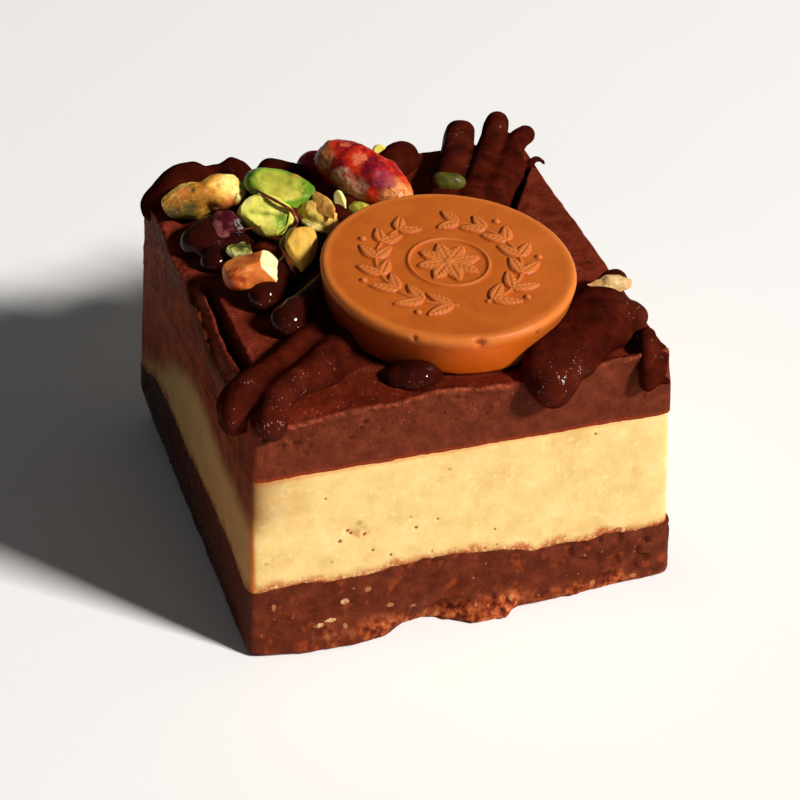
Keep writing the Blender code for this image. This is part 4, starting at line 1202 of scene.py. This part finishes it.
def base_finish():
    f = Finish("pressed_crumb", 0.65, 0.03)
    f.colour = f.ramp(f.noise(2.6, 5.0), [(74, 27, 14), (91, 37, 20), (109, 47, 26)], 0.3, 0.7)
    f.tint((146, 62, 28), f.patchy(0.56, 0.68, 2.4, 5.0), 0.55)
    crumb = [(62, 20, 9), (124, 50, 23), (176, 86, 44), (206, 124, 72)]
    f.tint(f.ramp(f.noise(1.3, 3.0, roughness=0.6), crumb, 0.34, 0.68), "crumbs", 0.9)
    f.tint((206, 140, 84), f.both(f.specks(0.9, 0.1, 0.22), f.patchy(0.42, 0.55, 0.5, 2.0)), 0.6)
    grain = f.ramp(f.noise(0.45, 3.0), [(120, 66, 38), (196, 150, 98), (226, 200, 160)], 0.35, 0.7)
    f.tint(grain, f.spots(PALE_BITS, 0.45))
    f.tint((186, 122, 76), f.spots(FAINT_BITS, 0.5), 0.6)
    # Painted shade: the left side darker, from brown at the front to near black at the back.
    painted_left_shade = f.mix(f.step(f.along(1), -26.0, 22.0), linear(80, 38, 24), linear(15, 4, 2))
    f.tint(painted_left_shade, "left", 0.85)
    normal = f.bump(f.noise(0.8, 5.0, roughness=0.65), 0.28)
    return f.finish(f.bump(f.noise(0.25, 2.0), 0.06, normal), Roughness=f.patchy(0.0, 1.2, 1.2))


def cream_finish():
    f = Finish("set_cream", 0.65, 0.05)
    f.see_in(0.3, (1.0, 0.6, 0.25))
    cream = [(204, 169, 104), (220, 187, 122), (228, 199, 140)]
    f.colour = f.ramp(f.noise(4.5, 8.0, roughness=0.65), cream, 0.3, 0.72)
    f.tint((206, 150, 78), f.specks(1.1, 0.3, 0.16), 0.35)
    f.tint((168, 142, 74), f.specks(0.5, 0.18, 0.24), 0.3)
    f.tint((240, 208, 150), f.patchy(0.56, 0.68, 1.3, 4.0), 0.4)
    f.tint((150, 124, 60), f.spots(FAINT_DOTS, 0.4), 0.5)
    f.tint((226, 160, 104), f.both("chip", f.patchy(0.45, 0.6, 0.8, 3.0)), 0.6)
    f.tint((120, 46, 24), f.spots(DOTS, 0.3), 0.85)
    crumb = f.ramp(f.noise(0.5, 2.0), [(70, 40, 26), (176, 130, 84)], 0.4, 0.6)
    f.tint(crumb, f.spots([(23.9, 10.2, 0.75, 0.6)], 0.35))
    f.tint((206, 116, 54), "head", 0.5)
    f.tint((164, 68, 26), f.both("foot", f.patchy(0.3, 0.55, 0.6, 4.0, roughness=0.7)), 0.95)
    # Painted shade: the left side darker, more so towards the back.
    painted_left_shade = f.mix(f.step(f.along(1), -30.0, 26.0), linear(136, 73, 27), linear(72, 37, 16))
    f.tint(painted_left_shade, "left", 0.7)
    f.tint((206, 110, 42), f.both("corner", f.patchy(0.2, 0.5, 2.6, 4.0)))
    f.tint(f.ramp(f.noise(2.4, 5.0), [(86, 32, 10), (128, 54, 20)], 0.35, 0.7), "smear")
    return f.finish(f.bump(f.noise(0.18, 2.0), 0.02, f.bump(f.noise(0.7, 5.0), 0.07)))


def slab_left(f):
    """The left side of the chocolate: scratched, darker towards the back, and with a painted sheen band
    below its top edge.
    """
    f.colour = f.ramp(f.noise(3.4, 5.0), [(86, 31, 9), (134, 54, 17)], 0.35, 0.7)
    f.tint((44, 18, 11), f.patchy(0.54, 0.66, 0.8, 3.0, stretch=(1.0, 0.16, 1.0)), 0.45)
    # Painted sheen: a greyer band below the top edge, behind the front.
    band = f.ramp(f.noise(2.0, 4.0), [(82, 40, 22), (100, 50, 30)])
    f.tint(band, f.both("band", f.step(f.along(1), -27.0, -20.0)))
    return f.colour


def slab_level(f):
    """The top of the chocolate: mottled and dusted, and darker along the front, where the painted light that
    lightens the rest stops.
    """
    mottled = f.noise(2.2, 7.0, roughness=0.65)
    # Painted light: a lighter copy of the top's colours, laid on behind the front strip.
    inner = f.ramp(mottled, [(82, 26, 14), (108, 39, 23), (132, 54, 34)], 0.3, 0.75)
    f.colour = f.ramp(mottled, [(72, 19, 8), (95, 29, 13), (115, 40, 20)], 0.3, 0.75)
    f.tint(inner, f.step(f.along(1), -27.0, -19.0))
    f.tint((164, 96, 76), f.both(f.specks(0.5, 0.34, 0.3), f.patchy(0.35, 0.6, 3.0, 2.0)), 0.6)
    return f.colour


def slab_finish():
    f = Finish("cut_chocolate", 0.55, 0.03)
    side = slab_left(f)
    level = slab_level(f)
    front = [(83, 32, 17), (99, 42, 24), (117, 52, 33)]
    f.colour = f.ramp(f.noise(2.2, 8.0, roughness=0.65), front, 0.3, 0.72)
    upper = f.both("upper", f.patchy(0.36, 0.56, 2.2, 4.0))
    f.tint((158, 84, 58), f.both(f.specks(0.5, 0.3, 0.3), upper), 0.7)
    f.tint((56, 18, 10), f.both(f.specks(0.65, 0.22, 0.28), upper), 0.75)
    # Painted shade: the pits darker than the face round them.
    f.tint((46, 13, 7), "pits", 0.65)
    f.tint((146, 52, 24), "bottom", 0.7)
    f.tint(side, "left")
    # A paler ragged line along the top edge: partly the broken crest's own colour, partly a painted
    # highlight.
    edge = f.ramp(f.noise(0.6, 4.0, roughness=0.7), [(104, 36, 20), (168, 84, 54)], 0.35, 0.65)
    f.tint(edge, f.both("rim", f.patchy(0.34, 0.56, 1.4, 4.0)), 0.85)
    f.tint(level, "top")
    # Painted shade: the scored grooves near black.
    f.tint((22, 6, 4), "gap", 0.85)
    normal = f.bump(f.noise(0.2, 1.0), 0.06, f.bump(f.noise(0.5, 6.0, roughness=0.7), 0.2))
    return f.finish(normal, Roughness=f.patchy(-0.3, 1.1, 0.9, 3.0))


def piped_finish():
    f = Finish("piped_chocolate", 0.6, 0.0)
    f.colour = f.ramp(f.noise(2.8, 6.0, roughness=0.6), [(40, 10, 6), (62, 17, 8), (86, 27, 15)], 0.3, 0.75)
    f.tint((42, 9, 5), "wet", 0.75)
    f.tint((34, 8, 4), "dark", 0.5)
    # Painted glints: pale specks in patchy zones and round the places where the chocolate sparkles most.
    painted_speck_zones = f.math("MAXIMUM", "glitter", f.patchy(0.62, 0.7, 4.0, 2.0))
    painted_speck_zones = f.both(painted_speck_zones, f.patchy(0.5, 0.6, 1.3, 4.0, roughness=0.7))
    painted_glints = f.both(f.specks(0.42, 0.5, 0.37), painted_speck_zones)
    # Painted sheen round the places where the chocolate sparkles most.
    f.tint((126, 52, 36), "glitter", 0.12)
    f.tint((218, 162, 142), painted_glints, 0.6)
    shine = f.math("MAXIMUM", "wet", f.math("MAXIMUM", painted_glints, f.both("glitter", 0.3)))
    f.set(Coat_Weight=f.both(shine, 0.95), Coat_Roughness=0.05, Coat_IOR=1.22)
    f.set(Coat_Normal=f.bump(f.noise(0.6, 1.0), 0.035))
    return f.finish(f.bump(f.noise(0.9, 4.0, roughness=0.6), 0.14))


def coin_finish():
    f = Finish("caramel", 0.45, 0.18)
    f.see_in(0.25, (1.4, 0.5, 0.15))
    f.colour = f.ramp(f.noise(6.0, 6.0), [(174, 84, 22), (194, 99, 32)], 0.3, 0.7)
    # Painted light: the top lighter towards the right.
    f.tint((200, 104, 40), f.step(f.along(0), 2.0, 22.0), 0.35)
    # Painted highlight on the raised design, and painted shade where the top sinks below its level.
    f.tint((226, 140, 76), f.step("raised", 0.05, 0.4), 0.4)
    f.tint((150, 58, 20), f.step("raised", -0.02, -0.12), 0.6)
    # Painted shade along the foot of the raised design.
    f.tint((150, 56, 16), "crease", 0.6)
    f.tint((150, 52, 16), f.specks(2.4, 0.14, 0.07), 0.6)
    # Painted light and shade across the side: dark on the left, lightest across the front and a little
    # darker at the right.
    across = f.math("MULTIPLY_ADD", f.noise(5.0, 4.0), 0.16, f.step(f.along(0), -15.0, 24.0))
    side = [(122, 40, 12), (190, 82, 10), (192, 86, 14), (156, 80, 26)]
    f.tint(f.ramp(across, side, 0.08, 1.0), "side")
    # A paler rim: partly the caramel's thinner edge, partly a painted highlight.
    f.tint((226, 138, 62), "rim", 0.3)
    # Painted shade: the pits in the rim darker.
    f.tint((134, 34, 10), f.both("pit", f.patchy(0.36, 0.52, 0.5, 3.0)), 0.9)
    return f.finish(f.bump(f.noise(0.6, 4.0), 0.025))


def nut_finish(name, nut):
    f = Finish(name, nut["roughness"], 0.3)
    f.see_in(0.15, (0.8, 0.5, 0.25))
    grain = nut["grain"]
    fine = f.math("MULTIPLY_ADD", f.noise(0.9, 6.0, roughness=0.65), grain, -0.5 * grain)
    skin = f.math("MULTIPLY_ADD", f.noise(0.5, 4.0, stretch=(0.35, 1.0, 1.0)), grain * 0.6, -0.3 * grain)
    tone = f.math("ADD", "tone", f.math("MULTIPLY_ADD", fine, 1.0, skin))
    f.colour = f.ramp(tone, nut["colours"])
    streaks = f.noise(1.5, 4.0, stretch=(0.22, 1.0, 1.0))
    f.tint(f.ramp(streaks, nut["inside"], 0.3, 0.7), "cut")
    for place, radius, patch in nut["patches"]:
        f.tint(patch, f.both(f.ball(place, radius), f.patchy(0.3, 0.55, 0.7, 5.0, roughness=0.7)))
    f.tint(nut["colours"][0], "seam", 0.7)
    return f.finish(f.bump(f.noise(0.6, 5.0, stretch=(0.5, 1.0, 1.0)), nut["bumps"]))


def strand_finish():
    f = Finish("nut_skin", 0.35, 0.3)
    f.colour = f.ramp(f.noise(0.9, 4.0), [(44, 10, 6), (88, 27, 13), (134, 58, 26)], 0.3, 0.72)
    return f.finish(f.bump(f.noise(0.4, 3.0), 0.06))


def place_piece(piece, material, slot, *nodes):
    piece.data.materials.append(material)
    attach(piece, "root")
    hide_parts(*nodes)


def build_nuts():
    for name, recipe in NUTS.items():
        nut = {**PLAIN_NUT, **recipe}
        nut.setdefault("inside", nut["colours"])
        place_piece(build_nut(name, nut), nut_finish(name, nut), nut["slot"], nut["node"])
    skin = strand_finish()
    for index, (first, last, points) in enumerate(STRANDS):
        strand = build_strand(f"skin_strand_{index + 1}", first, last, points)
        place_piece(strand, skin, "pistachio_red", "chocolate_layer")


def build_cake():
    base = build_layer("base", lambda u, v: 0 * u, lambda u, v: cream_foot(u, v) + LAYER_OVERLAP,
                       base_relief)
    place_piece(base, base_finish(), "base_layer", "base_layer")
    cream = build_layer("cream", cream_foot, cream_top, cream_relief)
    place_piece(cream, cream_finish(), "cream_layer", "cream_layer")
    place_piece(build_slab(), slab_finish(), "chocolate_layer", "chocolate_layer")
    place_piece(build_strokes(), piped_finish(), "chocolate_layer", "chocolate_layer")
    place_piece(build_coin(), coin_finish(), "caramel_coin", "caramel_coin")
    build_nuts()


def link(thing):
    bpy.context.scene.collection.objects.link(thing)
    return thing


def add_camera():
    azimuth, elevation = math.radians(CAMERA_AZIMUTH), math.radians(CAMERA_ELEVATION)
    level = -math.cos(elevation)
    back = Vector((math.sin(azimuth) * level, math.cos(azimuth) * level, math.sin(elevation)))
    right = Vector((math.cos(azimuth), -math.sin(azimuth), 0))
    axes = Matrix((right, back.cross(right), back)).transposed()
    axes = axes @ Matrix.Rotation(math.radians(CAMERA_ROLL), 3, "Z")
    camera = link(bpy.data.objects.new("camera", bpy.data.cameras.new("camera")))
    camera.data.lens = CAMERA_LENS
    camera.data.sensor_width = 36
    camera.matrix_world = Matrix.Translation(CAMERA_PLACE * MM) @ axes.to_4x4()
    bpy.context.scene.camera = camera


def add_floor():
    mesh = bpy.data.meshes.new("floor")
    corners = [(-FLOOR_REACH, -FLOOR_REACH, 0), (FLOOR_REACH, -FLOOR_REACH, 0),
               (FLOOR_REACH, FLOOR_REACH, 0), (-FLOOR_REACH, FLOOR_REACH, 0)]
    mesh.from_pydata(corners, [], [(0, 1, 2, 3)])
    f = Finish("pale_floor", 0.9, 0.1)
    f.set(Base_Color=f.mix(f.noise(60.0), *FLOOR_COLOURS))
    mesh.materials.append(f.material)
    link(bpy.data.objects.new("floor", mesh))


def add_key_light():
    light = bpy.data.lights.new("key", "AREA")
    light.size = KEY_SIZE
    light.energy = KEY_POWER
    light.color = KEY_COLOUR
    lamp = link(bpy.data.objects.new("key", light))
    lamp.location = KEY_PLACE
    lamp.rotation_mode = "QUATERNION"
    lamp.rotation_quaternion = (KEY_PLACE - KEY_TARGET).to_track_quat("Z", "Y")


def add_world():
    world = bpy.data.worlds.new("studio")
    bpy.context.scene.world = world
    world.use_nodes = True
    background = world.node_tree.nodes["Background"]
    background.inputs["Color"].default_value = (1, 1, 1, 1)
    background.inputs["Strength"].default_value = WORLD_STRENGTH


build_cake()
add_camera()
add_floor()
add_key_light()
add_world()
bpy.context.scene.view_settings.view_transform = "Standard"
